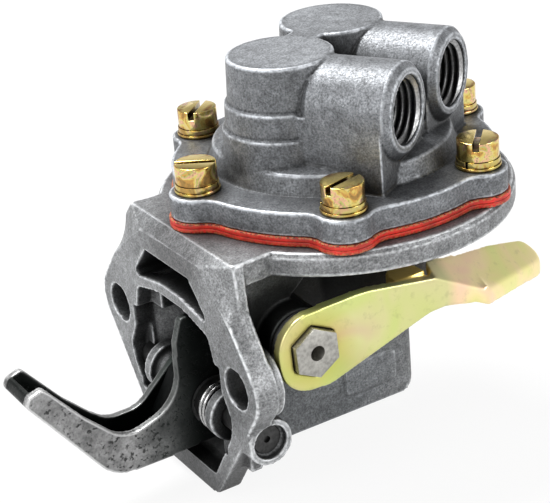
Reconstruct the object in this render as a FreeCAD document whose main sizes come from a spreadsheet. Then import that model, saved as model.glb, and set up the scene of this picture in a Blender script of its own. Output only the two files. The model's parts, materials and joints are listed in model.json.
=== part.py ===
import FreeCAD, Part
import math
import os
import Sketcher
from FreeCAD import Placement, Rotation, Vector

# Fuel lift pump: a die-cast body with a rocker chamber and a two-hole mounting flange, a six-screw
# cover with two valve towers and two threaded ports, a diaphragm worked by a rocker arm and a link,
# and a hand priming lever on a cross shaft.
# Millimetres. The sub-parts are drawn about the pump axis at the body's top joint face, and their
# placements move that frame's origin to the middle of the flange's bolt holes on the mounting face.
# +Z is up the pump axis, +X points from the mounting flange into the pump, and Y runs across the
# flange, along the rocker pin.

doc = FreeCAD.newDocument("FuelLiftPump")
sheet = doc.addObject("Spreadsheet::Sheet", "Sizes")

SIZES = [
    # joint ring and spring bowl of the body
    ("ring_radius", 38),
    ("ring_thick", 5),
    ("ring_step", 0.5),
    ("ring_step_depth", 0.9),
    ("bowl_outer_top", 22),
    ("bowl_outer_low", 21),
    ("bowl_depth", 17),
    ("bowl_wall", 3.2),
    ("bowl_floor", 6),
    ("recess_radius", 27.5),
    ("recess_depth", 5.2),
    # mounting flange
    ("flange_face", 42),
    ("flange_thick", 5),
    ("flange_bevel", 2.8),
    ("hole_spacing", 50),
    ("hole_drop", 25),
    ("hole_radius", 4.3),
    ("lug_radius", 7.8),
    ("lug_thick", 6.8),
    ("flange_top_half", 11),
    ("flange_top_drop", 2.4),
    ("platform_half", 23.3),
    ("flange_bottom", 56),
    ("flange_bottom_half", 12.5),
    # rocker chamber
    ("housing_half", 15.5),
    ("housing_end", 7.5),
    ("housing_bottom", 46.8),
    ("housing_corner", 4.5),
    ("panel_rise", 0.4),
    ("housing_wall", 3.5),
    ("mouth_half", 20),
    ("chamber_top", 13.8),
    # rocker pin and its bosses
    ("pin_radius", 3),
    ("pin_x", -37.3),
    ("pin_drop", 37.3),
    ("pin_boss_radius", 5),
    ("pin_boss_end", 28.5),
    ("pin_far_end", 21),
    ("pin_recess", 1.6),
    ("pin_recess_radius", 3.7),
    ("inner_boss_radius", 4.2),
    ("inner_boss_end", 7.6),
    ("pin_washer_radius", 5.6),
    ("pin_washer_thick", 0.8),
    ("rocker_spring_room", 4.2),
    ("rocker_spring_wire", 1.2),
    ("running_gap", 0.05),
    # rocker arm and link
    ("arm_half", 6),
    ("arm_plate", 1.9),
    ("link_half", 3.4),
    ("link_hub_radius", 6.4),
    ("link_fork_half", 7.6),
    ("link_thick", 3),
    # priming shaft and lever
    ("shaft_x", -26.6),
    ("shaft_drop", 19.8),
    ("shaft_radius", 5.5),
    ("shaft_flat", 2),
    ("shaft_end", 31.4),
    ("shaft_inner_end", 13.4),
    ("hex_flats", 9.5),
    ("hex_gap", 0.25),
    ("shaft_centre_radius", 1.6),
    ("shaft_boss_radius", 7.3),
    ("shaft_boss_end", 27.3),
    ("lever_plane", 27.9),
    ("lever_thick", 2.3),
    ("lever_hub_radius", 8),
    ("pad_lip", 3),
    ("pad_bend", 60),
    ("seal_ring_wire", 1.8),
    # diaphragm group
    ("layer_thick", 1),
    ("layer_overhang", 0.45),
    ("plate_radius", 16.5),
    ("plate_thick", 1.2),
    ("rod_radius", 2.5),
    ("rod_foot_radius", 3.7),
    ("rod_foot_drop", 34),
    ("rod_foot_thick", 2.2),
    ("spring_radius", 13),
    ("spring_wire", 1.9),
    ("spring_turns", 4.5),
    ("rod_seal_radius", 7),
    ("rod_seal_thick", 2.6),
    # cover
    ("port_angle", -60),
    ("cover_flange_thick", 5),
    ("waist_radius", 34.2),
    ("lobe_radius", 5.9),
    ("lobe_blend", 5),
    ("screw_circle", 32.8),
    ("dome_foot", 26.4),
    ("dome_edge", 25.1),
    ("dome_edge_rise", 4),
    ("dome_top_rise", 5.6),
    ("pump_chamber_radius", 22),
    ("pump_chamber_rise", 6.6),
    ("tower_set_back", 4.4),
    ("tower_gap", 23.2),
    ("tower_radius", 10.95),
    ("tower_top", 31.6),
    ("tower_step", 0.6),
    ("tower_draft", 0.05),
    ("step_high", 22.3),
    ("step_low", 17),
    ("tower_bore", 8.5),
    ("tower_roof", 2.6),
    ("neck_width", 7.2),
    ("port_gap", 22.6),
    ("port_rise", 21.75),
    ("port_boss_radius", 9.7),
    ("port_mouth", 23.2),
    ("port_mouth_bevel", 1.4),
    ("port_block_end", 21.4),
    ("port_thread_radius", 6.2),
    ("port_thread_depth", 13.5),
    ("port_gallery_radius", 4),
    # cover screws and washers
    ("screw_radius", 2.5),
    ("screw_tap_radius", 2.1),
    ("screw_clear_radius", 2.8),
    ("head_radius", 4.3),
    ("head_height", 4),
    ("slot_width", 1.3),
    ("slot_depth", 1.7),
    ("plain_washer_radius", 4.75),
    ("plain_washer_thick", 0.8),
    ("spring_washer_radius", 4.5),
    ("spring_washer_thick", 1.2),
    ("screw_length", 13.6),
    # valves
    ("seat_thick", 2.5),
    ("seat_hole", 4),
    ("outlet_seat_rise", 8.8),
    ("inlet_seat_rise", 13.4),
    ("disc_radius", 5.6),
    ("disc_thick", 0.9),
    ("cage_radius", 7.4),
    ("cage_height", 5),
    ("cage_wall", 0.8),
    ("valve_gasket_thick", 0.6),
]

for row, (alias, value) in enumerate(SIZES, start=1):
    sheet.set(f"A{row}", alias)
    sheet.set(f"B{row}", str(value))
    sheet.setAlias(f"B{row}", alias)
doc.recompute()


def size(alias):
    return float(getattr(sheet, alias))


def cell(text):
    """Writes a formula of size names as one that reads the sheet's cells."""
    words = []
    for word in text.replace("(", " ( ").replace(")", " ) ").split():
        words.append(f"Sizes.{word}" if word[0].isalpha() else word)
    return " ".join(words)


# The origin of every sub-part lies on the mounting face, between the two bolt holes
mount_frame = Placement(Vector(size("flange_face"), 0, size("hole_drop")), Rotation())


# Drawing helpers


def origin_plane(body, role):
    """An origin plane or axis of the body, by its role."""
    for feature in body.Origin.OriginFeatures:
        if feature.Role == role:
            return feature
    raise ValueError(role)


def new_body(label, placement=None):
    body = doc.addObject("PartDesign::Body", label)
    body.Label = label
    body.Placement = mount_frame.multiply(placement) if placement else mount_frame
    return body


def sketch_at(body, role, offset):
    """A sketch parallel to an origin plane; offset is a formula along +X, -Y or +Z."""
    sketch = body.newObject("Sketcher::SketchObject", f"{body.Name}_sketch")
    sketch.AttachmentSupport = [(origin_plane(body, role), "")]
    sketch.MapMode = "FlatFace"
    sketch.setExpression(".AttachmentOffset.Base.z", cell(offset))
    return sketch


def add_circle(sketch, x, y, radius):
    """A circle at x, y with its radius bound to a formula."""
    index = sketch.addGeometry(Part.Circle(Vector(x, y, 0), Vector(0, 0, 1), 1.0))
    number = sketch.addConstraint(Sketcher.Constraint("Radius", index, 1.0))
    sketch.setExpression(f"Constraints[{number}]", cell(radius))


def add_outline(sketch, corners):
    """A closed outline; each corner is (x, y) or (x, y, rounding radius)."""
    count = len(corners)
    entries = []
    exits = []
    arcs = []
    for i in range(count):
        corner = corners[i]
        here = Vector(corner[0], corner[1], 0)
        rounding = corner[2] if len(corner) > 2 else 0
        if rounding == 0:
            entries.append(here)
            exits.append(here)
            arcs.append(None)
            continue
        before = (Vector(*corners[i - 1][:2], 0) - here).normalize()
        after = (Vector(*corners[(i + 1) % count][:2], 0) - here).normalize()
        half_angle = math.acos(max(-1, min(1, before.dot(after)))) / 2
        cut_back = rounding / math.tan(half_angle)
        start = here + before * cut_back
        end = here + after * cut_back
        middle = here + (before + after).normalize() * (
            rounding / math.sin(half_angle) - rounding
        )
        entries.append(start)
        exits.append(end)
        arcs.append(Part.Arc(start, middle, end))
    for i in range(count):
        if arcs[i] is not None:
            sketch.addGeometry(arcs[i])
        start = exits[i]
        end = entries[(i + 1) % count]
        if (end - start).Length > 1e-6:
            sketch.addGeometry(Part.LineSegment(start, end))


def add_lobed_outline(sketch, waist, lobe, circle, blend):
    """Six round lobes on a circle, joined to a round waist by hollow blends."""
    reach = waist + blend
    cosine = (reach**2 + circle**2 - (lobe + blend) ** 2) / (2 * circle * reach)
    blend_angle = math.acos(cosine)
    blend_centre = Vector(reach * math.cos(blend_angle), reach * math.sin(blend_angle), 0)
    lobe_centre = Vector(circle, 0, 0)
    lobe_touch = lobe_centre + (blend_centre - lobe_centre).normalize() * lobe
    waist_touch = blend_centre.normalize() * waist
    blend_centre = Vector(reach * math.cos(blend_angle), reach * math.sin(blend_angle), 0)
    towards_origin = Vector(-math.cos(blend_angle), -math.sin(blend_angle), 0)
    towards_lobe = (lobe_centre - blend_centre).normalize()
    blend_middle = blend_centre + (towards_origin + towards_lobe).normalize() * blend
    lobe_tip = Vector(circle + lobe, 0, 0)

    def mirrored(point):
        return Vector(point.x, -point.y, 0)

    for i in range(6):
        turn = Rotation(Vector(0, 0, 1), 60 * i)
        next_turn = Rotation(Vector(0, 0, 1), 60 * (i + 1))
        waist_middle = Rotation(Vector(0, 0, 1), 60 * i + 30).multVec(Vector(waist, 0, 0))
        tip = turn.multVec(lobe_tip)
        for point in (1, -1):
            touch = lobe_touch if point == 1 else mirrored(lobe_touch)
            middle = blend_middle if point == 1 else mirrored(blend_middle)
            end = waist_touch if point == 1 else mirrored(waist_touch)
            sketch.addGeometry(
                Part.Arc(turn.multVec(touch), turn.multVec(middle), turn.multVec(end))
            )
        sketch.addGeometry(
            Part.Arc(turn.multVec(mirrored(lobe_touch)), tip, turn.multVec(lobe_touch))
        )
        sketch.addGeometry(
            Part.Arc(
                turn.multVec(waist_touch), waist_middle, next_turn.multVec(mirrored(waist_touch))
            )
        )


def extrude(body, sketch, length, cut=False):
    """Adds, or cuts, the sketch along its plane's positive direction."""
    kind = "PartDesign::Pocket" if cut else "PartDesign::Pad"
    feature = body.newObject(kind, f"{body.Name}_{'pocket' if cut else 'pad'}")
    feature.Profile = sketch
    feature.setExpression("Length", cell(length))
    feature.Reversed = cut
    doc.recompute()
    return feature


def between(body, role, low, high, cut=False):
    """A sketch and a later extrusion that fill the space from low to high."""
    start = f"0 - ( {high} )" if role == "XZ_Plane" else low
    return sketch_at(body, role, start), f"( {high} ) - ( {low} )"


def fill(body, role, low, high, draw, cut=False):
    sketch, length = between(body, role, low, high)
    draw(sketch)
    return extrude(body, sketch, length, cut)


def fill_outline(body, role, low, high, corners, cut=False):
    return fill(body, role, low, high, lambda sketch: add_outline(sketch, corners), cut)


def fill_circle(body, role, low, high, x, y, radius, cut=False):
    return fill(body, role, low, high, lambda sketch: add_circle(sketch, x, y, radius), cut)


def turn_profile(body, corners, cut=False, role="XZ_Plane", axis_x=0.0, offset="0"):
    """Revolves a half profile of (radius, height) corners about the body's upright axis."""
    sketch = sketch_at(body, role, offset)
    add_outline(sketch, [(axis_x + c[0],) + tuple(c[1:]) for c in corners])
    line = sketch.addGeometry(Part.LineSegment(Vector(axis_x, -1, 0), Vector(axis_x, 1, 0)), True)
    kind = "PartDesign::Groove" if cut else "PartDesign::Revolution"
    feature = body.newObject(kind, f"{body.Name}_{'groove' if cut else 'revolution'}")
    feature.Profile = sketch
    feature.ReferenceAxis = (sketch, ["Axis0"])
    feature.Angle = 360
    doc.recompute()
    return feature


def ring(label, outer, inner, low, high, placement=None):
    """A flat ring about the body's upright axis."""
    body = new_body(label, placement)

    def draw(sketch):
        add_circle(sketch, 0, 0, outer)
        add_circle(sketch, 0, 0, inner)

    fill(body, "XY_Plane", low, high, draw)
    return body


def repeat(body, feature, count):
    """Repeats a feature about the body's upright axis."""
    pattern = body.newObject("PartDesign::PolarPattern", f"{body.Name}_pattern")
    pattern.Originals = [feature]
    pattern.Axis = (origin_plane(body, "Z_Axis"), [""])
    pattern.Angle = 360
    pattern.Occurrences = count
    body.Tip = pattern
    doc.recompute()
    return pattern


def mirror_y(corners):
    """The corners and, in reverse, their mirror images across the middle plane."""
    return list(corners) + [(-c[0],) + tuple(c[1:]) for c in reversed(corners)]


# Levels that several pieces share

cover_base = size("layer_thick") * 2
seat_level = cover_base + size("cover_flange_thick")
pin_x = size("pin_x")
pin_z = -size("pin_drop")
shaft_x = size("shaft_x")
shaft_z = -size("shaft_drop")
hole_y = size("hole_spacing") / 2
hole_z = -size("hole_drop")
face_x = -size("flange_face")
bowl_floor_top = -size("bowl_depth")
bowl_floor_low = bowl_floor_top - size("bowl_floor")
cover_turn = Placement(Vector(0, 0, 0), Rotation(Vector(0, 0, 1), size("port_angle")))


# Body casting


def lug_corner(above, below):
    """Where the tangents from two points to a bolt hole's lug meet, beyond the lug."""
    radius = size("lug_radius")
    touches = []
    for point, side in ((above, -1), (below, 1)):
        out = Vector(point[0] - hole_y, point[1] - hole_z, 0)
        touches.append(math.atan2(out.y, out.x) + side * math.acos(radius / out.Length))
    middle = sum(touches) / 2
    reach = radius / math.cos((touches[0] - touches[1]) / 2)
    return (hole_y + reach * math.cos(middle), hole_z + reach * math.sin(middle), radius)


def flange_side(corners):
    """One half of the flange's outline: its upper corners, round lug and narrow bottom."""
    bottom = (size("flange_bottom_half"), -size("flange_bottom"), 4.5)
    return corners + [lug_corner(corners[-1], bottom), bottom]


def flange_outline(far, near):
    """The whole outline; the near half is drawn with its widths as positive numbers."""
    return flange_side(far) + [(-c[0],) + tuple(c[1:]) for c in reversed(flange_side(near))]


def make_body():
    body = new_body("pump_body")
    ring_radius = size("ring_radius")
    ring_low = -size("ring_thick")
    step = size("ring_step")
    turn_profile(
        body,
        [
            (0, 0),
            (ring_radius - step, 0),
            (ring_radius - step, -size("ring_step_depth")),
            (ring_radius, -size("ring_step_depth")),
            (ring_radius, ring_low, 0.6),
            (size("bowl_outer_top"), ring_low, 2.5),
            (size("bowl_outer_low"), bowl_floor_low),
            (0, bowl_floor_low),
        ],
    )
    # flange: a plate whose upper edges slope back from the machined face, with thick lugs
    platform = size("platform_half")
    top = size("flange_top_half")
    drop = -size("flange_top_drop")
    wide = flange_outline(
        [(platform - 4.3, 0), (platform - 1.1, -3.3), (platform + 0.4, -10.4)],
        [(platform, 0), (platform + 0.6, -4), (platform + 1.3, -10)],
    )
    narrow = flange_outline(
        [(top - 1, drop), (top + 6, drop - 4.4), (25.3, -13.2)],
        [(top + 3.4, drop + 0.3), (top + 7, drop - 3.4), (25.3, -12.6)],
    )
    front = sketch_at(body, "YZ_Plane", "0 - flange_face")
    add_outline(front, narrow)
    back = sketch_at(body, "YZ_Plane", "flange_bevel - flange_face")
    add_outline(back, wide)
    loft = body.newObject("PartDesign::AdditiveLoft", "flange_bevel_loft")
    loft.Profile = front
    loft.Sections = [back]
    loft.Ruled = True
    doc.recompute()
    fill_outline(
        body, "YZ_Plane", "flange_bevel - flange_face", "flange_thick - flange_face", wide
    )
    for side in (-1, 1):
        fill_circle(
            body, "YZ_Plane", "flange_thick - flange_face - 1", "lug_thick - flange_face",
            side * hole_y, hole_z, "lug_radius - 0.3",
        )
    # platform that carries the flange on the ring
    back_x = -size("bowl_outer_low") - 2
    fill_outline(
        body, "XY_Plane", "0 - ring_thick", "0",
        [
            (face_x + size("flange_thick") - 1, -platform),
            (back_x, -platform + 1.5),
            (back_x, platform - 4.5),
            (face_x + size("flange_thick") - 1, platform - 4.3),
        ],
    )
    # rocker housing, wide at the flange and parallel behind it
    half = size("housing_half")
    flare_x = pin_x + 6.5
    fill_outline(
        body, "XY_Plane", "0 - housing_bottom", "0 - 8",
        [
            (face_x + 3, -size("mouth_half") - 2.4),
            (pin_x + 0.8, -size("mouth_half") - 2.4),
            (flare_x, -half),
            (size("housing_end"), -half, 2.5),
            (size("housing_end"), half, 2.5),
            (flare_x, half),
            (pin_x + 0.8, size("mouth_half") + 2.4),
            (face_x + 3, size("mouth_half") + 2.4),
        ],
    )
    end_x = size("housing_end")
    low_z = -size("housing_bottom")
    corner = size("housing_corner")
    fill_outline(
        body, "XZ_Plane", "0 - housing_half - 1", "housing_half + 1",
        [
            (end_x + 1, low_z - 1),
            (end_x + 1, low_z + corner),
            (end_x, low_z + corner),
            (end_x, low_z, corner),
            (end_x - corner, low_z),
            (end_x - corner, low_z - 1),
        ],
        cut=True,
    )
    fill_outline(
        body, "XZ_Plane", "0 - housing_half - panel_rise", "0 - housing_half + 0.5",
        [(-10.8, -35.5, 0.8), (2.1, -35.5, 0.8), (2.1, -42.2, 0.8), (-10.8, -42.2, 0.8)],
    )
    toe_half = "flange_bottom_half"
    bottom = -size("flange_bottom")
    fill_outline(
        body, "XZ_Plane", f"0 - {toe_half}", toe_half,
        [
            (face_x + 3, bottom + 1.5),
            (face_x + size("flange_thick"), bottom + 1.5),
            (flare_x + 4, -size("housing_bottom")),
            (flare_x + 4, -size("housing_bottom") + 4),
            (face_x + 3, -size("housing_bottom") + 4),
        ],
    )
    # bosses for the rocker pin and the priming shaft
    fill_circle(
        body, "XZ_Plane", "0 - pin_boss_end", "0 - housing_half + 1", pin_x, pin_z, "pin_boss_radius"
    )
    fill_circle(
        body, "XZ_Plane", "housing_half - 1", "pin_far_end + 3", pin_x, pin_z, "pin_boss_radius"
    )
    fill_circle(
        body, "XZ_Plane", "0 - shaft_boss_end", "0 - housing_half + 1",
        shaft_x, shaft_z, "shaft_boss_radius",
    )
    fill_circle(
        body, "XZ_Plane", "housing_half - 1", "shaft_inner_end + 4.5",
        shaft_x, shaft_z, "shaft_boss_radius",
    )
    # gussets between the flange plate and the bowl
    for side in (-1, 1):
        edge = side * (half + 3.2)
        low, high = sorted((edge - 1.7, edge + 1.7))
        fill_outline(
            body, "XZ_Plane", f"0 + {low}" if low >= 0 else f"0 - {-low}",
            f"0 + {high}" if high >= 0 else f"0 - {-high}",
            [
                (face_x + 4, -4),
                (face_x + 4, hole_z - 3),
                (pin_x + 7.5, -16),
                (-size("bowl_outer_top") + 6, -4),
            ],
        )
    # everything in front of the mounting face is machined off
    fill_outline(
        body, "YZ_Plane", "0 - flange_face - 4", "0 - flange_face",
        [(-60, -80), (60, -80), (60, 20), (-60, 20)], cut=True,
    )
    # hollow of the bowl, with the seal pocket in its floor
    recess = size("recess_radius")
    spring_bore = size("bowl_outer_low") - size("bowl_wall")
    pocket_low = bowl_floor_top - size("rod_seal_thick") - 0.4
    turn_profile(
        body,
        [
            (0, 1),
            (recess, 1),
            (recess, -0.8, 0.5),
            (spring_bore, -size("recess_depth"), 1.5),
            (spring_bore, bowl_floor_top, 1.5),
            (size("rod_seal_radius"), bowl_floor_top),
            (size("rod_seal_radius"), pocket_low),
            (0, pocket_low),
        ],
        cut=True,
    )
    fill_circle(
        body, "XY_Plane", "0 - bowl_depth - bowl_floor - 1", "0 - bowl_depth + 1", 0, 0,
        "rod_radius + running_gap", cut=True,
    )
    # rocker chamber
    wall = size("housing_wall")
    inner = half - wall
    mouth = size("mouth_half")
    floor_z = -size("housing_bottom") + wall
    ceiling_x = -size("bowl_outer_low") + 0.3
    chamber = [
        (face_x - 1, -mouth + 1.5),
        (pin_x, -mouth + 1.5),
        (flare_x - 0.6, -inner),
        (size("housing_end") - wall, -inner, 1.5),
        (size("housing_end") - wall, inner, 1.5),
        (flare_x - 0.6, inner),
        (pin_x, mouth - 1.5),
        (face_x - 1, mouth - 1.5),
    ]
    fill_outline(
        body, "XY_Plane", "0 - housing_bottom + housing_wall", "0 - bowl_depth - bowl_floor",
        chamber, cut=True,
    )
    fill_outline(
        body, "XZ_Plane", f"0 - {inner}", f"{inner}",
        [
            (face_x + 2.6, -size("chamber_top")),
            (ceiling_x, -size("chamber_top")),
            (ceiling_x, bowl_floor_low - 0.5),
            (face_x + 2.6, bowl_floor_low - 0.5),
        ],
        cut=True,
    )
    fill_outline(
        body, "XZ_Plane", "0 - 9.5", "9.5",
        [
            (face_x - 1, floor_z + 1),
            (flare_x, floor_z + 1),
            (flare_x, floor_z),
            (pin_x - 0.5, -50.6),
            (face_x - 1, -50.6),
        ],
        cut=True,
    )
    # mouth of the chamber in the flange face, under a thin arch
    fill_outline(
        body, "YZ_Plane", "0 - flange_face - 1", "flange_thick - flange_face - 1.2",
        mirror_y(
            [
                (6, -15.2, 18),
                (15, -17.4, 2.5),
                (17.4, -25.5, 4),
                (18.8, -28.8, 3),
                (21.7, -33.6, 2.5),
                (20.6, -38.2, 5),
                (11.9, -50.9, 1.5),
            ]
        ),
        cut=True,
    )
    # lightening pocket above the arch
    fill_outline(
        body, "YZ_Plane", "0 - flange_face - 1", "0 - bowl_outer_low - 7.5",
        mirror_y([(9.1, -6.7, 0.8), (16.4, -14.8, 1), (4, -12.6, 14)]),
        cut=True,
    )
    # bolt holes, with a light chamfer at the face
    for side in (-1, 1):
        fill_circle(
            body, "YZ_Plane", "0 - flange_face - 1", "lug_thick - flange_face + 1",
            side * hole_y, hole_z, "hole_radius", cut=True,
        )
    # inner bosses that carry the rocker spring, then the pin's bore and its staked recess
    shoulder = "inner_boss_end + rocker_spring_room"
    fill_circle(
        body, "XZ_Plane", "0 - housing_half + 1", f"0 - ( {shoulder} )", pin_x, pin_z,
        "inner_boss_radius + 1.6",
    )
    fill_circle(
        body, "XZ_Plane", shoulder, "housing_half - 1", pin_x, pin_z, "inner_boss_radius + 1.6"
    )
    fill_circle(
        body, "XZ_Plane", "0 - housing_half + 1", "0 - inner_boss_end", pin_x, pin_z,
        "inner_boss_radius",
    )
    fill_circle(
        body, "XZ_Plane", "inner_boss_end", "housing_half - 1", pin_x, pin_z, "inner_boss_radius"
    )
    fill_circle(
        body, "XZ_Plane", "0 - pin_boss_end - 1", "pin_far_end", pin_x, pin_z, "pin_radius", cut=True
    )
    fill_circle(
        body, "XZ_Plane", "0 - pin_boss_end - 1", "pin_recess - pin_boss_end", pin_x, pin_z,
        "pin_recess_radius", cut=True,
    )
    # bore of the priming shaft, with a groove for its seal ring
    fill_circle(
        body, "XZ_Plane", "0 - shaft_boss_end - 1", "shaft_inner_end + 0.3", shaft_x, shaft_z,
        "shaft_radius + running_gap", cut=True,
    )
    fill_circle(
        body, "XZ_Plane", "0 - shaft_boss_end - 1", "seal_ring_wire + 0.4 - shaft_boss_end",
        shaft_x, shaft_z, "shaft_radius + seal_ring_wire", cut=True,
    )
    # tapped holes for the cover screws
    taps = sketch_at(body, "XY_Plane", "0 - ring_thick - 0.5")
    for i in range(6):
        angle = math.radians(size("port_angle") + 60 * i)
        circle = size("screw_circle")
        add_circle(taps, circle * math.cos(angle), circle * math.sin(angle), "screw_tap_radius")
    extrude(body, taps, "ring_thick + 1", cut=True)
    return body


# Cover casting, drawn with its ports along its own +X


def add_cone(body, y, z, start, length, first_radius, last_radius):
    """A cone along +X from start, with its two end radii bound to formulas."""
    cone = body.newObject("PartDesign::AdditiveCone", f"{body.Name}_cone")
    cone.AttachmentSupport = [(origin_plane(body, "YZ_Plane"), "")]
    cone.MapMode = "FlatFace"
    cone.AttachmentOffset = Placement(Vector(y, z, start), Rotation())
    cone.setExpression("Radius1", cell(first_radius))
    cone.setExpression("Radius2", cell(last_radius))
    cone.Height = length
    doc.recompute()


def make_cover():
    body = new_body("top_cover", cover_turn)
    sketch = sketch_at(body, "XY_Plane", "layer_thick * 2")
    add_lobed_outline(
        sketch, size("waist_radius"), size("lobe_radius"), size("screw_circle"), size("lobe_blend")
    )
    extrude(body, sketch, "cover_flange_thick")
    edge_z = seat_level + size("dome_edge_rise")
    turn_profile(
        body,
        [
            (0, seat_level - 1),
            (size("dome_foot"), seat_level - 1),
            (size("dome_foot"), seat_level),
            (size("dome_edge"), edge_z, 0.5),
            (size("pump_chamber_radius") - 2, seat_level + size("dome_top_rise")),
            (0, seat_level + size("dome_top_rise")),
        ],
    )
    tower_x = -size("tower_set_back")
    tower_y = size("tower_gap") / 2
    port_y = size("port_gap") / 2
    radius = size("tower_radius")
    step = size("tower_step")
    draft = size("tower_draft")
    top = size("tower_top")
    high = size("step_high")
    low = size("step_low")
    high_radius = radius + draft * (top - high)
    low_radius = high_radius + step + draft * (high - low)
    foot_radius = low_radius + step + draft * (low - seat_level)
    profile = [
        (0, seat_level - 1),
        (foot_radius, seat_level - 1),
        (low_radius + step, low, 0.25),
        (low_radius, low),
        (high_radius + step, high, 0.25),
        (high_radius, high),
        (radius, top, 0.4),
        (0, top),
    ]
    for side in (-1, 1):
        turn_profile(
            body, profile, axis_x=tower_x, offset=f"0 - {tower_y}" if side > 0 else f"{tower_y}"
        )
    # the neck that joins the towers up to their tops
    neck_x = tower_x - 0.4
    neck = size("neck_width") / 2
    fill_outline(
        body, "XY_Plane", "layer_thick * 2 + cover_flange_thick", "tower_top",
        [
            (neck_x - neck, -tower_y),
            (neck_x + neck, -tower_y),
            (neck_x + neck, tower_y),
            (neck_x - neck, tower_y),
        ],
    )
    # port bosses on blocks that stand on the flange
    boss = size("port_boss_radius")
    mouth = size("port_mouth")
    rise = size("port_rise")
    bevel = size("port_mouth_bevel")
    for side in (-1, 1):
        centre = side * port_y
        fill(
            body, "YZ_Plane", "0", "port_block_end",
            lambda sketch: add_outline(
                sketch,
                [
                    (centre - boss, seat_level - 1),
                    (centre + boss, seat_level - 1),
                    (centre + boss, rise),
                    (centre - boss, rise),
                ],
            ),
        )
        add_cone(body, centre, rise, -1.5, 7, "port_boss_radius - 4", "port_boss_radius")
        fill_circle(
            body, "YZ_Plane", "5.5", "port_mouth - port_mouth_bevel", centre, rise,
            "port_boss_radius",
        )
        add_cone(
            body, centre, rise, mouth - bevel, bevel, "port_boss_radius",
            "port_boss_radius - port_mouth_bevel",
        )
    # web between the two blocks
    gap = port_y - boss + 0.5
    fill_outline(
        body, "YZ_Plane", "0", "port_block_end - 0.6",
        [(-gap, seat_level), (gap, seat_level), (gap, rise - 7), (-gap, rise - 7)],
    )
    # pump chamber under the dome and the two valve bores
    turn_profile(
        body,
        [
            (0, cover_base - 1),
            (size("pump_chamber_radius") + 2, cover_base - 1),
            (size("pump_chamber_radius"), cover_base + size("pump_chamber_rise"), 1.5),
            (0, cover_base + size("pump_chamber_rise")),
        ],
        cut=True,
    )
    for side in (-1, 1):
        fill_circle(
            body, "XY_Plane", "layer_thick * 2 + 1", "tower_top - tower_roof", tower_x,
            side * tower_y, "tower_bore", cut=True,
        )
        fill_circle(
            body, "YZ_Plane", "port_mouth - port_thread_depth", "port_mouth + 1", side * port_y,
            rise, "port_thread_radius", cut=True,
        )
        fill_circle(
            body, "YZ_Plane", "0", "port_mouth", side * port_y, rise, "port_gallery_radius",
            cut=True,
        )
    hole = sketch_at(body, "XY_Plane", "layer_thick * 2 - 1")
    add_circle(hole, size("screw_circle"), 0, "screw_clear_radius")
    drilled = extrude(body, hole, "cover_flange_thick + 2", cut=True)
    repeat(body, drilled, 6)
    # clearance above each lobe for the screw heads and washers
    spot = sketch_at(body, "XY_Plane", "layer_thick * 2 + cover_flange_thick")
    add_circle(spot, size("screw_circle"), 0, "plain_washer_radius + 0.25")
    faced = extrude(body, spot, "12", cut=True)
    repeat(body, faced, 6)
    return body


# Diaphragm group


def make_layer(label, low, high):
    body = new_body(label, cover_turn)
    sketch = sketch_at(body, "XY_Plane", low)
    over = size("layer_overhang")
    add_lobed_outline(
        sketch, size("waist_radius") + over, size("lobe_radius") + over,
        size("screw_circle"), size("lobe_blend"),
    )
    extrude(body, sketch, f"( {high} ) - ( {low} )")
    hole = sketch_at(body, "XY_Plane", f"( {low} ) - 1")
    add_circle(hole, size("screw_circle"), 0, "screw_clear_radius")
    repeat(body, extrude(body, hole, "layer_thick + 2", cut=True), 6)
    fill_circle(
        body, "XY_Plane", f"( {low} ) - 1", f"( {high} ) + 1", 0, 0, "rod_radius", cut=True
    )
    return body


def make_diaphragm_plates():
    ring("upper_plate", "plate_radius", "rod_radius", "layer_thick * 2",
         "layer_thick * 2 + plate_thick")
    body = new_body("lower_plate")
    radius = size("plate_radius")
    thick = size("plate_thick")
    turn_profile(
        body,
        [
            (size("rod_radius"), 0),
            (radius - 1, 0),
            (radius - 1, -thick),
            (size("spring_radius") + 2.4, -thick),
            (size("spring_radius") + 2.4, -thick - 1.4),
            (size("spring_radius") + 1.4, -thick - 1.4),
            (size("spring_radius") + 1.4, -thick),
            (size("rod_radius"), -thick),
        ],
    )


def make_rod():
    body = new_body("pull_rod")
    foot_low = -size("rod_foot_drop")
    shank = size("rod_radius")
    head = cover_base + size("plate_thick")
    turn_profile(
        body,
        [
            (0, foot_low),
            (size("rod_foot_radius"), foot_low, 0.4),
            (size("rod_foot_radius"), foot_low + size("rod_foot_thick"), 0.4),
            (shank, foot_low + size("rod_foot_thick")),
            (shank, head),
            (shank + 2, head),
            (shank + 1.2, head + 1.6, 0.6),
            (0, head + 1.8),
        ],
    )


def make_coil(label, radius, wire, pitch, height, start, placement=None):
    """A round-wire compression coil about the body's upright axis, from a start height."""
    body = new_body(label, placement)
    sketch = body.newObject("Sketcher::SketchObject", f"{label}_wire")
    sketch.AttachmentSupport = [(origin_plane(body, "XZ_Plane"), "")]
    sketch.MapMode = "FlatFace"
    sketch.addGeometry(Part.Circle(Vector(radius, start, 0), Vector(0, 0, 1), wire / 2))
    coil = body.newObject("PartDesign::AdditiveHelix", f"{label}_helix")
    coil.Profile = sketch
    coil.ReferenceAxis = (sketch, ["V_Axis"])
    coil.Mode = "pitch-height-angle"
    coil.Pitch = pitch
    coil.Height = height
    coil.Angle = 0
    doc.recompute()
    return body


def make_springs():
    wire = size("spring_wire")
    top = -size("plate_thick") - wire / 2 - 0.15
    low = bowl_floor_top + 0.8 + wire / 2 + 0.15
    make_coil(
        "diaphragm_spring", size("spring_radius"), wire, (top - low) / size("spring_turns"),
        top - low, low,
    )


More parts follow.
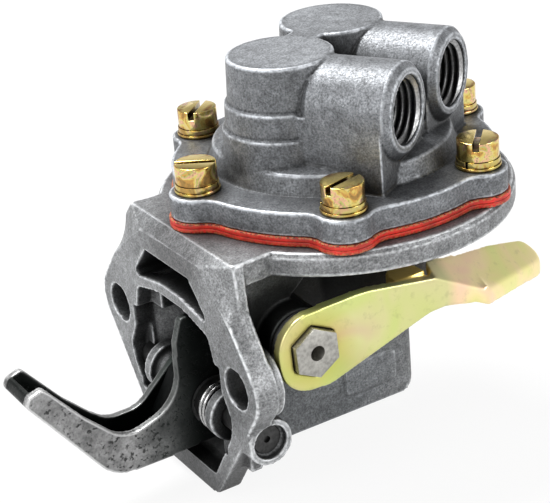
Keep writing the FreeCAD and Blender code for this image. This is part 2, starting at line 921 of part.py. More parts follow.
def make_rod_seal():
    ring("rod_seal", "rod_seal_radius", "rod_radius", "0 - bowl_depth - rod_seal_thick",
         "0 - bowl_depth")
    ring("seal_retainer", "bowl_outer_low - bowl_wall - 1.8", "rod_radius + 1", "0 - bowl_depth",
         "0 - bowl_depth + 0.8")


# Valves: the outlet opens upwards into its tower, the inlet opens down into the pump chamber


def make_valve(label, side, seat_rise, opens):
    """One valve: gasket, seat, disc, spring and cage, along the axis of its tower."""
    local = Placement(
        Vector(-size("tower_set_back"), side * size("tower_gap") / 2, seat_rise),
        Rotation(Vector(1, 0, 0), 0 if opens > 0 else 180),
    )
    place = cover_turn.multiply(local)
    # upwards in this frame is the way the valve opens; zero is the seat's sealing face
    ring(f"{label}_seat", "tower_bore", "seat_hole", "0 - seat_thick", "0", place)
    disc = new_body(f"{label}_disc", place)
    fill_circle(disc, "XY_Plane", "0", "disc_thick", 0, 0, "disc_radius")
    cage = new_body(f"{label}_cage", place)
    outer = size("cage_radius")
    wall = size("cage_wall")
    height = size("cage_height")
    turn_profile(
        cage,
        [
            (outer - wall, 0),
            (outer + 0.8, 0),
            (outer + 0.8, wall),
            (outer, wall),
            (outer - 0.6, height, 0.5),
            (1.2, height),
            (1.2, height - wall),
            (outer - wall - 0.6, height - wall),
        ],
    )
    window = sketch_at(cage, "XY_Plane", "cage_height / 3")
    add_outline(window, [(3.4, -1.5), (outer + 1, -2.2), (outer + 1, 2.2), (3.4, 1.5)])
    opened = extrude(cage, window, "cage_height", cut=True)
    repeat(cage, opened, 4)
    spring_low = size("disc_thick") + 0.45
    spring_high = height - wall - 0.45
    make_coil(
        f"{label}_spring", 2.6, 0.6, (spring_high - spring_low) / 2.5, spring_high - spring_low,
        spring_low, place,
    )
    ring(f"{label}_gasket", "tower_bore", "seat_hole + 2", "0 - seat_thick - valve_gasket_thick",
         "0 - seat_thick", place)


# Rocker arm, link and pin


def arm_side():
    """Outline of the pressed arm's side wall, tip first, clockwise from its upper edge."""
    return [
        (-77.4, -22.4, 1),
        (-74.3, -21.4, 1.2),
        (-66.3, -31.2, 9),
        (-58.2, -39.2, 7),
        (-45.4, -35.2, 9),
        (-44.9, -22, 3),
        (-43.2, -16.8, 1.2),
        (-40.6, -16.4, 1.5),
        (-36.2, -25, 4),
        (-31, -31, 4),
        (-30.6, -42.5, 4),
        (-36, -46.3, 6),
        (-48, -46.9, 10),
        (-61.8, -46.9, 9),
        (-78.3, -24.2, 1),
    ]


def arm_hollow():
    """The channel's inside, which leaves a web along the lower edge and round the tip."""
    return [
        (-76.2, -20),
        (-76.6, -24.2, 0.8),
        (-61.0, -45.0, 8),
        (-48, -45.0, 9),
        (-36.6, -44.5, 5),
        (-32.6, -41.6, 3),
        (-28, -38),
        (-28, -12),
        (-50, -12),
    ]


def make_arm():
    body = new_body("rocker_arm")
    fill_outline(body, "XZ_Plane", "0 - arm_half", "arm_half", arm_side())
    fill_outline(
        body, "XZ_Plane", "arm_plate - arm_half", "arm_half - arm_plate", arm_hollow(), cut=True
    )
    # the far wall has no ear: it stops low, behind the curve of the near wall
    fill_outline(
        body, "XZ_Plane", "arm_half - arm_plate - 0.1", "arm_half + 1",
        [
            (-66.6, -30.4),
            (-57.8, -39.4, 7),
            (-50, -39.2, 6),
            (-42, -32, 8),
            (-36, -27.5),
            (-28, -24),
            (-30, -10),
            (-60, -10),
        ],
        cut=True,
    )
    fill_circle(
        body, "XZ_Plane", "0 - arm_half - 1", "arm_half + 1", pin_x, pin_z,
        "pin_radius + running_gap", cut=True,
    )
    return body


def make_rocker_spring():
    """A torsion spring round the near inner boss, with one leg up behind the arm's ear."""
    wire = size("rocker_spring_wire")
    radius = size("inner_boss_radius") + 0.25 + wire / 2
    near = -size("inner_boss_end") - 0.3 - wire / 2
    pitch = wire + 0.1
    place = Placement(Vector(pin_x, near, pin_z), Rotation(Vector(1, 0, 0), 90))
    body = make_coil("rocker_spring", radius, wire, pitch, pitch * 1.9, 0, place)
    leg = body.newObject("Sketcher::SketchObject", "rocker_spring_leg")
    leg.AttachmentSupport = [(origin_plane(body, "XZ_Plane"), "")]
    leg.MapMode = "FlatFace"
    leg.addGeometry(Part.Circle(Vector(radius, 0, 0), Vector(0, 0, 1), wire / 2))
    straight = body.newObject("PartDesign::Pad", "rocker_spring_leg_pad")
    straight.Profile = leg
    straight.Length = 8.7 + wire / 2
    straight.Reversed = True
    doc.recompute()
    hook = body.newObject("Sketcher::SketchObject", "rocker_spring_hook")
    hook.AttachmentSupport = [(origin_plane(body, "XY_Plane"), "")]
    hook.MapMode = "FlatFace"
    hook.AttachmentOffset = Placement(Vector(0, 0, -3.6), Rotation())
    hook.addGeometry(Part.Circle(Vector(radius, 8.7, 0), Vector(0, 0, 1), wire / 2))
    across = body.newObject("PartDesign::Pad", "rocker_spring_hook_pad")
    across.Profile = hook
    across.Length = 3.6 + wire / 2
    doc.recompute()
    return body


def make_link():
    """The link: a hub on the pin, a tail over the arm's web and a fork round the pull rod."""
    body = new_body("link_lever")
    fork_top = -size("rod_foot_drop") + size("rod_foot_thick") + size("link_thick") + 0.3
    fork_low = fork_top - size("link_thick")
    hub = size("link_hub_radius")
    fill_outline(
        body, "XZ_Plane", "0 - link_half", "link_half",
        [
            (pin_x - 10.5, pin_z - 7.4, 1.2),
            (pin_x - 10.5, pin_z - 3.2, 1.6),
            (pin_x - 4.5, pin_z + hub, 3),
            (pin_x + 3, pin_z + hub, 3),
            (shaft_x + 1, shaft_z - size("shaft_radius") + 0.9, 3),
            (shaft_x + 7.5, shaft_z - size("shaft_radius") + 0.9, 3),
            (-8, fork_top, 6),
            (3, fork_top, 0.8),
            (3, fork_low, 2),
            (-8, fork_low, 4),
            (-24, fork_low - 4, 8),
            (pin_x + 2, pin_z - hub + 0.8, 3),
        ],
    )
    fork = size("link_fork_half")
    fill_outline(
        body, "XY_Plane", f"0 - {-fork_low}", f"0 - {-fork_top}",
        [(-12, -fork, 3), (3, -fork, 2), (3, fork, 2), (-12, fork, 3)],
    )
    slot = size("rod_radius") + 0.5
    fill_outline(
        body, "XY_Plane", f"0 - {-fork_low} - 6", f"0 - {-fork_top} + 6",
        [(-slot - 1, -slot, slot - 0.01), (6, -slot), (6, slot), (-slot - 1, slot, slot - 0.01)],
        cut=True,
    )
    fill_circle(
        body, "XZ_Plane", "0 - link_half - 1", "link_half + 1", pin_x, pin_z,
        "pin_radius + running_gap", cut=True,
    )
    return body


def make_pin():
    """The rocker pin, short of its boss's face, with a staking dimple in its end."""
    body = new_body("rocker_pin")
    fill_circle(
        body, "XZ_Plane", "pin_recess - pin_boss_end", "pin_far_end", pin_x, pin_z, "pin_radius"
    )
    fill_circle(
        body, "XZ_Plane", "pin_recess - pin_boss_end - 0.5", "pin_recess - pin_boss_end + 0.8",
        pin_x, pin_z, "pin_radius / 4", cut=True,
    )
    return body


def make_pin_washers():
    body = new_body("pin_washers")
    for side in (-1, 1):
        near = size("arm_half") + 0.3
        low, high = sorted((side * near, side * (near + size("pin_washer_thick"))))

        def draw(sketch):
            add_circle(sketch, pin_x, pin_z, "pin_washer_radius")
            add_circle(sketch, pin_x, pin_z, "pin_radius + running_gap")

        fill(body, "XZ_Plane", signed(low), signed(high), draw)
    return body


def signed(value):
    return f"0 + {value:.6f}" if value >= 0 else f"0 - {-value:.6f}"


# Priming shaft and lever


def hexagon(across_flats, x, z, tilt):
    radius = across_flats / math.sqrt(3)
    corners = []
    for i in range(6):
        angle = math.radians(60 * i + tilt)
        corners.append((x + radius * math.cos(angle), z + radius * math.sin(angle)))
    return corners


def make_shaft():
    """The shaft: a hexagon outside, a round journal, and a half-round cam over the link."""
    body = new_body("priming_shaft")
    fill_circle(
        body, "XZ_Plane", "0 - lever_plane + 0.1", "shaft_inner_end", shaft_x, shaft_z,
        "shaft_radius",
    )
    fill_outline(
        body, "XZ_Plane", "0 - shaft_end", "0 - lever_plane + 0.1",
        hexagon(size("hex_flats"), shaft_x, shaft_z, 33),
    )
    reach = size("shaft_radius") + 1
    flat_z = shaft_z - size("shaft_flat")
    fill_outline(
        body, "XZ_Plane", "0 - link_half - 2", "link_half + 2",
        [
            (shaft_x - reach, flat_z),
            (shaft_x + reach, flat_z),
            (shaft_x + reach, flat_z - reach),
            (shaft_x - reach, flat_z - reach),
        ],
        cut=True,
    )
    fill_circle(
        body, "XZ_Plane", "0 - shaft_end - 1", "6 - shaft_end", shaft_x, shaft_z,
        "shaft_centre_radius", cut=True,
    )
    return body


def make_shaft_seal():
    """The seal ring in the groove at the mouth of the shaft's boss."""
    wire = size("seal_ring_wire")
    middle_y = -size("shaft_boss_end") + wire / 2 + 0.3
    place = Placement(Vector(shaft_x, middle_y, shaft_z), Rotation(Vector(1, 0, 0), 90))
    body = new_body("shaft_seal_ring", place)
    sketch = sketch_at(body, "XZ_Plane", "0")
    centre = size("shaft_radius") + wire / 2
    sketch.addGeometry(Part.Circle(Vector(centre, 0, 0), Vector(0, 0, 1), wire / 2))
    turned = body.newObject("PartDesign::Revolution", "shaft_seal_turn")
    turned.Profile = sketch
    turned.ReferenceAxis = (sketch, ["V_Axis"])
    turned.Angle = 360
    doc.recompute()
    return body


def make_lever():
    """The pressed priming lever: a flat arm, an upturned stop tab and a thumb pad."""
    body = new_body("priming_lever")
    hub = size("lever_hub_radius")
    front_y = -size("lever_plane") - size("lever_thick")
    bend_start = Vector(3, front_y, -13.5)
    bend_end = Vector(16.9, front_y, -20.9)
    back = "0 - lever_plane"
    front = "0 - lever_plane - lever_thick"
    fill_outline(
        body, "XZ_Plane", front, back,
        [
            (shaft_x + 2.5, shaft_z + hub + 0.6, 7),
            (shaft_x - hub, shaft_z + hub, hub - 0.4),
            (shaft_x - hub, shaft_z - hub, hub - 0.4),
            (shaft_x + 3.4, shaft_z - hub - 0.6, 6),
            (3.5, -20.4, 12),
            (bend_end.x, bend_end.z - size("pad_lip"), 4),
            (bend_end.x, bend_end.z),
            (bend_start.x, bend_start.z, 0.8),
            (-14.5, -10.8, 30),
        ],
    )
    # thumb pad: a flat leaf bent back along a crease that falls towards its free end
    along = (bend_end - bend_start).normalize()
    upward = Vector(-along.z, 0, along.x)
    bend = math.radians(size("pad_bend"))
    across = upward * math.cos(bend) + Vector(0, 1, 0) * math.sin(bend)
    normal = along.cross(across).normalize()
    pad = body.newObject("Sketcher::SketchObject", "thumb_pad_outline")
    pad.AttachmentSupport = [(origin_plane(body, "XY_Plane"), "")]
    pad.MapMode = "FlatFace"
    pad.AttachmentOffset = Placement(bend_end, Rotation(along, across, normal, "ZXY"))
    length = (bend_end - bend_start).Length
    add_outline(
        pad,
        [
            (-length + 0.6, 0),
            (0, 0),
            (25.6, 15, 3),
            (21, 20.2, 4),
            (6, 14.6, 14),
            (-7, 8.6, 4),
            (-length + 2.2, 2.6, 1),
        ],
    )
    leaf = body.newObject("PartDesign::Pad", "thumb_pad")
    leaf.Profile = pad
    leaf.UseCustomVector = True
    leaf.Direction = Vector(0, 0, -1)
    leaf.setExpression("Length", cell("pad_lip"))
    doc.recompute()
    # stop tab, bent inwards from the upper edge
    tab_top = -12.1
    fill_outline(
        body, "XY_Plane", signed(tab_top - size("lever_thick")), signed(tab_top),
        [
            (-5.4, -size("lever_plane") - 0.5),
            (2, -size("lever_plane") - 0.5),
            (2, -size("lever_plane") + 5, 3),
            (-5.4, -size("lever_plane") + 5, 3),
        ],
    )
    fill_outline(
        body, "XZ_Plane", "0 - lever_plane - lever_thick - 1", "1 - lever_plane",
        hexagon(size("hex_flats") + 2 * size("hex_gap"), shaft_x, shaft_z, 33), cut=True,
    )
    return body


# Cover screws and washers


def make_group(label, build):
    """Six equal pieces on the screw circle, as one object with six solids."""
    shapes = []
    for i in range(6):
        angle = size("port_angle") + 60 * i
        shape = build(i)
        shape.translate(Vector(size("screw_circle"), 0, 0))
        shape.rotate(Vector(0, 0, 0), Vector(0, 0, 1), angle)
        shapes.append(shape)
    group = doc.addObject("Part::Feature", label)
    group.Label = label
    group.Shape = Part.makeCompound(shapes)
    group.Placement = mount_frame
    return group


def screw_shape(i):
    """A slotted cheese-head screw; each head's slot stops at its own angle."""
    slot_angles = [106, 25, 60, 102, -35, 135]
    head_low = seat_level + size("plain_washer_thick") + size("spring_washer_thick")
    head_top = head_low + size("head_height")
    tip = head_low - size("screw_length")
    head = Part.makeCylinder(size("head_radius"), size("head_height"), Vector(0, 0, head_low))
    rim = [edge for edge in head.Edges if abs(edge.BoundBox.ZMin - head_top) < 1e-6
           and abs(edge.BoundBox.ZMax - head_top) < 1e-6]
    head = head.makeFillet(0.5, rim)
    shank = Part.makeCylinder(size("screw_tap_radius"), head_low - tip, Vector(0, 0, tip))
    slot = Part.makeBox(
        14, size("slot_width"), size("slot_depth") + 1,
        Vector(-7, -size("slot_width") / 2, head_top - size("slot_depth")),
    )
    slot.rotate(Vector(0, 0, 0), Vector(0, 0, 1), slot_angles[i])
    return head.fuse(shank).cut(slot).removeSplitter()


def plain_washer_shape(i):
    outer = Part.makeCylinder(
        size("plain_washer_radius"), size("plain_washer_thick"), Vector(0, 0, seat_level)
    )
    hole = Part.makeCylinder(
        size("screw_radius") + 0.15, size("plain_washer_thick"), Vector(0, 0, seat_level)
    )
    return outer.cut(hole)


def spring_washer_shape(i):
    """A split ring, flattened as it is under a tightened screw."""
    split_angles = [200, 250, 40, 130, 310, 160]
    low = seat_level + size("plain_washer_thick")
    outer = Part.makeCylinder(
        size("spring_washer_radius"), size("spring_washer_thick"), Vector(0, 0, low)
    )
    hole = Part.makeCylinder(
        size("screw_radius") + 0.1, size("spring_washer_thick"), Vector(0, 0, low)
    )
    split = Part.makeBox(6, 0.5, size("spring_washer_thick"), Vector(0, -0.25, low))
    split.rotate(Vector(0, 0, 0), Vector(0, 0, 1), split_angles[i])
    return outer.cut(hole).cut(split)


# Build every sub-part, check it and write it out

make_body()
make_cover()
make_layer("diaphragm_lower_layer", "0", "layer_thick")
make_layer("diaphragm_upper_layer", "layer_thick", "layer_thick * 2")
make_diaphragm_plates()
make_rod()
make_springs()
make_rod_seal()
make_valve("outlet", -1, size("outlet_seat_rise") + size("seat_thick"), 1)
make_valve("inlet", 1, size("inlet_seat_rise"), -1)
make_arm()
make_rocker_spring()
make_link()
make_pin()
make_pin_washers()
make_shaft()
make_shaft_seal()
make_lever()
make_group("cover_screws", screw_shape)
make_group("plain_washers", plain_washer_shape)
make_group("spring_washers", spring_washer_shape)
doc.recompute()

for item in doc.Objects:
    broken = [word for word in item.State if word in ("Invalid", "Error")]
    if broken:
        raise RuntimeError(f"{item.Label} is {broken}")

os.makedirs("parts", exist_ok=True)
for item in doc.Objects:
    if item.TypeId == "PartDesign::Body" or item.TypeId == "Part::Feature":
        shape = item.Shape
        if shape.isNull() or not shape.isValid():
            raise RuntimeError(f"{item.Label} has no valid shape")
        shape.exportStep(f"parts/{item.Label}.step")
        print(item.Label, len(shape.Solids), round(shape.Volume, 1))
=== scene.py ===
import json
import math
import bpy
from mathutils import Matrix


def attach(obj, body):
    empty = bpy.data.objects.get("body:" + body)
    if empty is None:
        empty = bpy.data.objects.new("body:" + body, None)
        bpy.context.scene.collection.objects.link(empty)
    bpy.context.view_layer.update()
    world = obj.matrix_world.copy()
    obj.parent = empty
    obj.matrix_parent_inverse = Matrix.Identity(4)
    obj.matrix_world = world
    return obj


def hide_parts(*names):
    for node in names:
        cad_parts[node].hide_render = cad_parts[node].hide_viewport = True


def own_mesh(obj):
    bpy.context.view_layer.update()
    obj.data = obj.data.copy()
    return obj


bl_info = {
    "name": "Fuel Lift Pump",
    "version": (1, 0, 0),
    "blender": (4, 5, 0),
    "location": "View3D > Sidebar > Fuel Pump",
    "description": "Builds the visible pieces and finishes of a mechanical fuel lift pump",
    "category": "Object",
}

from contextlib import contextmanager

import bpy
import bmesh
import numpy
from bpy.props import FloatProperty, FloatVectorProperty, IntProperty, PointerProperty
from mathutils import Matrix, Vector, kdtree

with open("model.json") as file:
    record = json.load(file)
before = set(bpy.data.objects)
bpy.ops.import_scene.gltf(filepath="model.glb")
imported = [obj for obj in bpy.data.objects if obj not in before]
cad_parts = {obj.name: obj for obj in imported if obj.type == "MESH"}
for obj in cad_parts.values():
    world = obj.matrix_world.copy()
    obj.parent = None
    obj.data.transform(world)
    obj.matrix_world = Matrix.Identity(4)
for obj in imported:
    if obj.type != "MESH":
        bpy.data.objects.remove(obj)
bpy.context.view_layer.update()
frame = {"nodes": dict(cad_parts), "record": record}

MM = 0.001
PORT_TURN = math.radians(-60)


# Shared measures of the pump, in metres in the row frame

SEAT_LEVEL = 7 * MM
SCREW_CIRCLE = 32.8 * MM
PORT_RISE = 21.75 * MM
PORT_OFFSET = 11.3 * MM
PORT_MOUTH = 23.2 * MM
PUMP_AXIS = Vector((42, 0, 25)) * MM
LAYERS = 2 * MM
PLAIN_WASHER = 0.8 * MM
SPRING_WASHER = 1.2 * MM
THREAD_RUN_OUT = 0.9 * MM
CUTTER_OVERLAP = 2 * MM
CUTTER_SIDES = 64
WELD_GAP = 0.002 * MM

# Spring washers and plain washers, and where the slots and the gaps point, in degrees

RING_RADIUS = 4.5 * MM
RING_BORE = 2.6 * MM
RING_SPLIT = 0.5 * MM
PLAIN_BORE = 2.65 * MM
SLOT_ANGLES = (46, 25, 120, 42, -35, 15)
SPLIT_ANGLES = (200, 250, 40, 130, 310, 160)

# How finely the rounded pieces are remeshed and how many faces they keep

CASTING_FACES = 118000
PRESSING_FACES = 80000
PRESSING_CELL = 0.3 * MM
COVER_CELL_SHARE = 0.92


# Settings a user may change


class CastingSettings(bpy.types.PropertyGroup):
    """Grain, rounding and tone of the two aluminium castings"""

    rounding: FloatProperty(
        name="Edge rounding",
        description="Cell size of the remesh that rounds the cast edges",
        default=0.36 * MM, min=0.25 * MM, max=1 * MM, subtype="DISTANCE", unit="LENGTH",
    )
    body_tone: FloatVectorProperty(
        name="Body tone", description="Mean colour of the body casting",
        default=(0.225, 0.23, 0.235), subtype="COLOR", size=3, min=0, max=1,
    )
    cover_tone: FloatVectorProperty(
        name="Cover tone", description="Mean colour of the cover casting",
        default=(0.165, 0.172, 0.182), subtype="COLOR", size=3, min=0, max=1,
    )
    grain: FloatProperty(
        name="Grain", description="Number of cast grains in a metre", default=2400, min=200,
    )


class ScrewSettings(bpy.types.PropertyGroup):
    """Cheese-head screws and their washers"""

    count: IntProperty(name="Count", description="Screws round the cover", default=6, min=3)
    head_radius: FloatProperty(
        name="Head radius", description="Radius of a screw head", default=4.3 * MM,
        subtype="DISTANCE", unit="LENGTH",
    )
    head_height: FloatProperty(
        name="Head height", description="Height of a screw head", default=4.0 * MM,
        subtype="DISTANCE", unit="LENGTH",
    )
    slot_width: FloatProperty(
        name="Slot width", description="Width of the driver slot", default=1.3 * MM,
        subtype="DISTANCE", unit="LENGTH",
    )
    slot_depth: FloatProperty(
        name="Slot depth", description="Depth of the driver slot", default=1.7 * MM,
        subtype="DISTANCE", unit="LENGTH",
    )
    washer_radius: FloatProperty(
        name="Washer radius", description="Radius of the plain washer", default=4.75 * MM,
        subtype="DISTANCE", unit="LENGTH",
    )
    plating: FloatVectorProperty(
        name="Plating", description="Mean colour of the yellow zinc", size=3, subtype="COLOR",
        default=(0.58, 0.45, 0.155), min=0, max=1,
    )


class ThreadSettings(bpy.types.PropertyGroup):
    """Threads cut in the two ports"""

    pitch: FloatProperty(
        name="Pitch", description="Rise of one thread turn", default=1.5 * MM,
        subtype="DISTANCE", unit="LENGTH",
    )
    root_radius: FloatProperty(
        name="Root radius", description="Radius at the bottom of the thread grooves",
        default=7.0 * MM, subtype="DISTANCE", unit="LENGTH",
    )
    crest_radius: FloatProperty(
        name="Crest radius", description="Radius at the thread crests", default=6.2 * MM,
        subtype="DISTANCE", unit="LENGTH",
    )
    turns: FloatProperty(name="Turns", description="Thread turns in a port", default=8.0, min=1)


class DiaphragmSettings(bpy.types.PropertyGroup):
    """The two red layers that show round the joint"""

    tone: FloatVectorProperty(
        name="Red", description="Colour of the coated fabric", size=3, subtype="COLOR",
        default=(0.50, 0.015, 0.010), min=0, max=1,
    )


class LeverSettings(bpy.types.PropertyGroup):
    """Finish of the priming lever"""

    plating: FloatVectorProperty(
        name="Plating", description="Pale yellow passivated zinc", size=3, subtype="COLOR",
        default=(0.62, 0.66, 0.245), min=0, max=1,
    )


class StageSettings(bpy.types.PropertyGroup):
    """Camera, floor and lamps"""

    camera_place: FloatVectorProperty(
        name="Camera", description="Where the camera stands", size=3, subtype="TRANSLATION",
        default=(-0.12903, -0.27058, 0.15689), unit="LENGTH",
    )
    lens: FloatProperty(
        name="Lens", description="Focal length over a 36 mm wide frame", default=106.37,
    )
    floor_level: FloatProperty(
        name="Floor level", description="Height of the pale floor", default=-33 * MM,
        subtype="DISTANCE", unit="LENGTH",
    )


# Mesh helpers


def settings():
    return bpy.context.scene.fuel_pump


def add_object(name, mesh):
    piece = bpy.data.objects.new(name, mesh)
    bpy.context.scene.collection.objects.link(piece)
    return piece


@contextmanager
def editing(mesh):
    """The mesh as a bmesh, which is written back at the end."""
    build = bmesh.new()
    build.from_mesh(mesh)
    yield build
    build.to_mesh(mesh)
    build.free()


def merged_copy(node, name):
    """A copy of a CAD node with its triangles joined into one closed surface."""
    mesh = frame["nodes"][node].data.copy()
    mesh.name = name
    mesh.materials.clear()
    with editing(mesh) as build:
        bmesh.ops.remove_doubles(build, verts=build.verts, dist=WELD_GAP)
    return add_object(name, mesh)


def dissolve_flats(piece, angle=0.5):
    """Joins the coplanar triangles, so that a bevel sees only real edges."""
    with editing(piece.data) as build:
        bmesh.ops.dissolve_limit(
            build, angle_limit=math.radians(angle), verts=build.verts, edges=build.edges
        )


def add_modifier(piece, kind, **values):
    modifier = piece.modifiers.new(kind.title(), kind)
    for name, value in values.items():
        setattr(modifier, name, value)
    return modifier


def freeze(piece):
    """Turns the piece with its modifiers into a plain mesh at the origin."""
    graph = bpy.context.evaluated_depsgraph_get()
    mesh = bpy.data.meshes.new_from_object(piece.evaluated_get(graph))
    piece.modifiers.clear()
    old = piece.data
    piece.data = mesh
    bpy.data.meshes.remove(old)
    return piece


def round_edges(piece, width, segments=3, angle=35):
    """Bevels the edges where faces meet at more than the angle."""
    add_modifier(
        piece, "BEVEL", width=width, segments=segments, limit_method="ANGLE",
        angle_limit=math.radians(angle),
    )
    freeze(piece)


def shade_smooth(piece, angle=None):
    """Smooth shading, with sharp edges kept where faces meet at more than the angle."""
    mesh = piece.data
    mesh.polygons.foreach_set("use_smooth", [True] * len(mesh.polygons))
    if angle is None:
        return
    limit = math.radians(angle)
    with editing(mesh) as build:
        for edge in build.edges:
            edge.smooth = len(edge.link_faces) == 2 and edge.calc_face_angle(0) < limit


def face_outwards(piece):
    with editing(piece.data) as build:
        bmesh.ops.recalc_face_normals(build, faces=build.faces)


def mark_bulges(piece, blurs=2, span=6):
    """How sharply the surface bulges at each point: over 0.5 on outer edges, under in corners."""
    mesh = piece.data
    count = len(mesh.vertices)
    spots = numpy.empty(count * 3)
    mesh.vertices.foreach_get("co", spots)
    spots = spots.reshape(-1, 3)
    normals = numpy.empty(count * 3, dtype=numpy.float32)
    mesh.vertex_normals.foreach_get("vector", normals)
    normals = normals.reshape(-1, 3)
    ends = numpy.empty(len(mesh.edges) * 2, dtype=numpy.int32)
    mesh.edges.foreach_get("vertices", ends)
    first, second = ends.reshape(-1, 2).T
    links = numpy.bincount(ends, minlength=count).clip(1)

    def around(values):
        total = numpy.bincount(first, values[second], count)
        return (total + numpy.bincount(second, values[first], count)) / links

    lengths = numpy.linalg.norm(spots[first] - spots[second], axis=1)
    spacing = numpy.bincount(first, lengths, count) + numpy.bincount(second, lengths, count)
    spacing = spacing / links
    means = numpy.stack([around(spots[:, axis]) for axis in range(3)], axis=1)
    sag = ((spots - means) * normals).sum(axis=1)
    bulge = 4 * sag / numpy.maximum(spacing, 1e-6) ** 2
    for _ in range(blurs):
        bulge = 0.5 * bulge + 0.5 * around(bulge)
    finder = kdtree.KDTree(count)
    for i, spot in enumerate(spots.tolist()):
        finder.insert(spot, i)
    finder.balance()
    return finder, (0.5 + bulge * MM / span).clip(0, 1)


def carry_bulges(piece, finder, bulges, longest=1.5 * MM, rounds=5):
    """Splits the long edges that the thinning left, then takes each bulge from the fine mesh."""
    mesh = piece.data
    with editing(mesh) as build:
        for _ in range(rounds):
            long = [edge for edge in build.edges if edge.calc_length() > longest]
            if not long:
                break
            bmesh.ops.subdivide_edges(build, edges=long, cuts=1)
            bmesh.ops.triangulate(build, faces=[f for f in build.faces if len(f.verts) > 3])
    values = [bulges[finder.find(vert.co)[1]] for vert in mesh.vertices]
    layer = mesh.attributes.new("bulge", "FLOAT", "POINT")
    layer.data.foreach_set("value", values)


def round_casting(piece, cell, target, passes=2, soften=None):
    """Rounds every edge as a casting's is: a fine remesh, a light smoothing, then fewer faces."""
    add_modifier(piece, "REMESH", mode="VOXEL", voxel_size=cell, use_smooth_shade=True)
    add_modifier(piece, "SMOOTH", factor=0.5, iterations=passes)
    freeze(piece)
    if soften:
        soften(piece)
    finder, bulges = mark_bulges(piece)
    faces = sum(len(p.vertices) - 2 for p in piece.data.polygons)
    if faces > target:
        add_modifier(piece, "DECIMATE", ratio=target / faces)
        freeze(piece)
    carry_bulges(piece, finder, bulges)
    shade_smooth(piece)


def tool_cylinder(name, radius, low, high, matrix):
    """A plain cylinder used as a cutter; it is removed after its cut."""
    mesh = bpy.data.meshes.new(name)
    with editing(mesh) as build:
        bmesh.ops.create_cone(
            build, cap_ends=True, segments=CUTTER_SIDES, radius1=radius, radius2=radius,
            depth=high - low, matrix=matrix @ Matrix.Translation((0, 0, (low + high) / 2)),
        )
    return add_object(name, mesh)


def cut_away(piece, cutter):
    add_modifier(piece, "BOOLEAN", operation="DIFFERENCE", solver="EXACT", object=cutter)
    freeze(piece)
    bpy.data.objects.remove(cutter)


def port_matrix(side):
    """A frame whose Z runs out of a port; side is -1 for the near port and 1 for the far one."""
    turn = Matrix.Rotation(PORT_TURN, 4, "Z")
    place = Matrix.Translation((0, side * PORT_OFFSET, PORT_RISE))
    return Matrix.Translation(PUMP_AXIS) @ turn @ place @ Matrix.Rotation(math.radians(90), 4, "Y")


# Node helpers


class NodeWriter:
    """A short way to add nodes to a tree."""

    def __init__(self, tree):
        self.tree = tree

    def feed(self, node, values):
        """Sets or links inputs of a node; a colour may come without its alpha."""
        for name, value in values.items():
            socket = node.inputs[name]
            if isinstance(value, bpy.types.NodeSocket):
                self.tree.links.new(value, socket)
            elif socket.type == "RGBA":
                socket.default_value = (*value[:3], 1)
            else:
                socket.default_value = value

    def node(self, kind, values=None, **options):
        """Adds a node with its options, and its inputs by name or by number."""
        node = self.tree.nodes.new(kind)
        for name, value in options.items():
            setattr(node, name, value)
        self.feed(node, values or {})
        return node

    def math(self, operation, first, second=0.0, clamp=False):
        return self.node(
            "ShaderNodeMath", {0: first, 1: second}, operation=operation, use_clamp=clamp
        ).outputs[0]

    def ramp(self, factor, *stops):
        """Greys or colours between stops; each has a place and a grey or a colour."""
        node = self.node("ShaderNodeValToRGB", {"Fac": factor})
        elements = node.color_ramp.elements
        while len(elements) < len(stops):
            elements.new(0.5)
        for element, (position, colour) in zip(elements, stops):
            element.position = position
            if isinstance(colour, (int, float)):
                colour = (colour, colour, colour)
            element.color = (*colour, 1)
        return node.outputs["Color"]


class TreeWriter(NodeWriter):
    """A short way to write a geometry node tree; its inputs are numbers, vectors and a material."""

    def __init__(self, name, numbers, vectors=()):
        super().__init__(bpy.data.node_groups.new(name, "GeometryNodeTree"))
        face = self.tree.interface
        kinds = {"Geometry": "Geometry", **dict.fromkeys(numbers, "Float")}
        kinds.update(dict.fromkeys(vectors, "Vector"), Material="Material")
        for label, kind in kinds.items():
            face.new_socket(label, in_out="INPUT", socket_type="NodeSocket" + kind)
        face.new_socket("Geometry", in_out="OUTPUT", socket_type="NodeSocketGeometry")
        self.source = self.node("NodeGroupInput")
        self.sink = self.node("NodeGroupOutput")

    def given(self, label):
        return self.source.outputs[label]

    def join(self, source, target):
        self.tree.links.new(source, target)

    def vector(self, **parts):
        return self.node("ShaderNodeCombineXYZ", parts).outputs[0]

    def moved(self, geometry, by):
        return self.node(
            "GeometryNodeTransform", {"Geometry": geometry, "Translation": by}
        ).outputs[0]

    def cylinder(self, sides, radius, depth):
        return self.node("GeometryNodeMeshCylinder", {
            "Vertices": sides, "Radius": radius, "Depth": depth,
        }).outputs["Mesh"]

    def cube(self, size):
        return self.node("GeometryNodeMeshCube", {"Size": size}).outputs["Mesh"]

    def cut(self, solid, *cutters):
        node = self.node("GeometryNodeMeshBoolean", operation="DIFFERENCE", solver="EXACT")
        self.join(solid, node.inputs["Mesh 1"])
        for cutter in cutters:
            self.join(cutter, node.inputs["Mesh 2"])
        return node.outputs["Mesh"]

    def on_points(self, instance):
        """A copy on each point that comes in, turned by its own attribute."""
        angle = self.node(
            "GeometryNodeInputNamedAttribute", {"Name": "turned"}, data_type="FLOAT"
        ).outputs["Attribute"]
        return self.node("GeometryNodeInstanceOnPoints", {
            "Points": self.given("Geometry"), "Instance": instance,
            "Rotation": self.vector(Z=angle),
        }).outputs[0]

    def finish(self, geometry):
        """Ends the tree in real geometry with its material."""
        real = self.node("GeometryNodeRealizeInstances", {"Geometry": geometry})
        coated = self.node("GeometryNodeSetMaterial", {
            "Geometry": real.outputs[0], "Material": self.given("Material"),
        })
        self.join(coated.outputs[0], self.sink.inputs[0])
        return self.tree


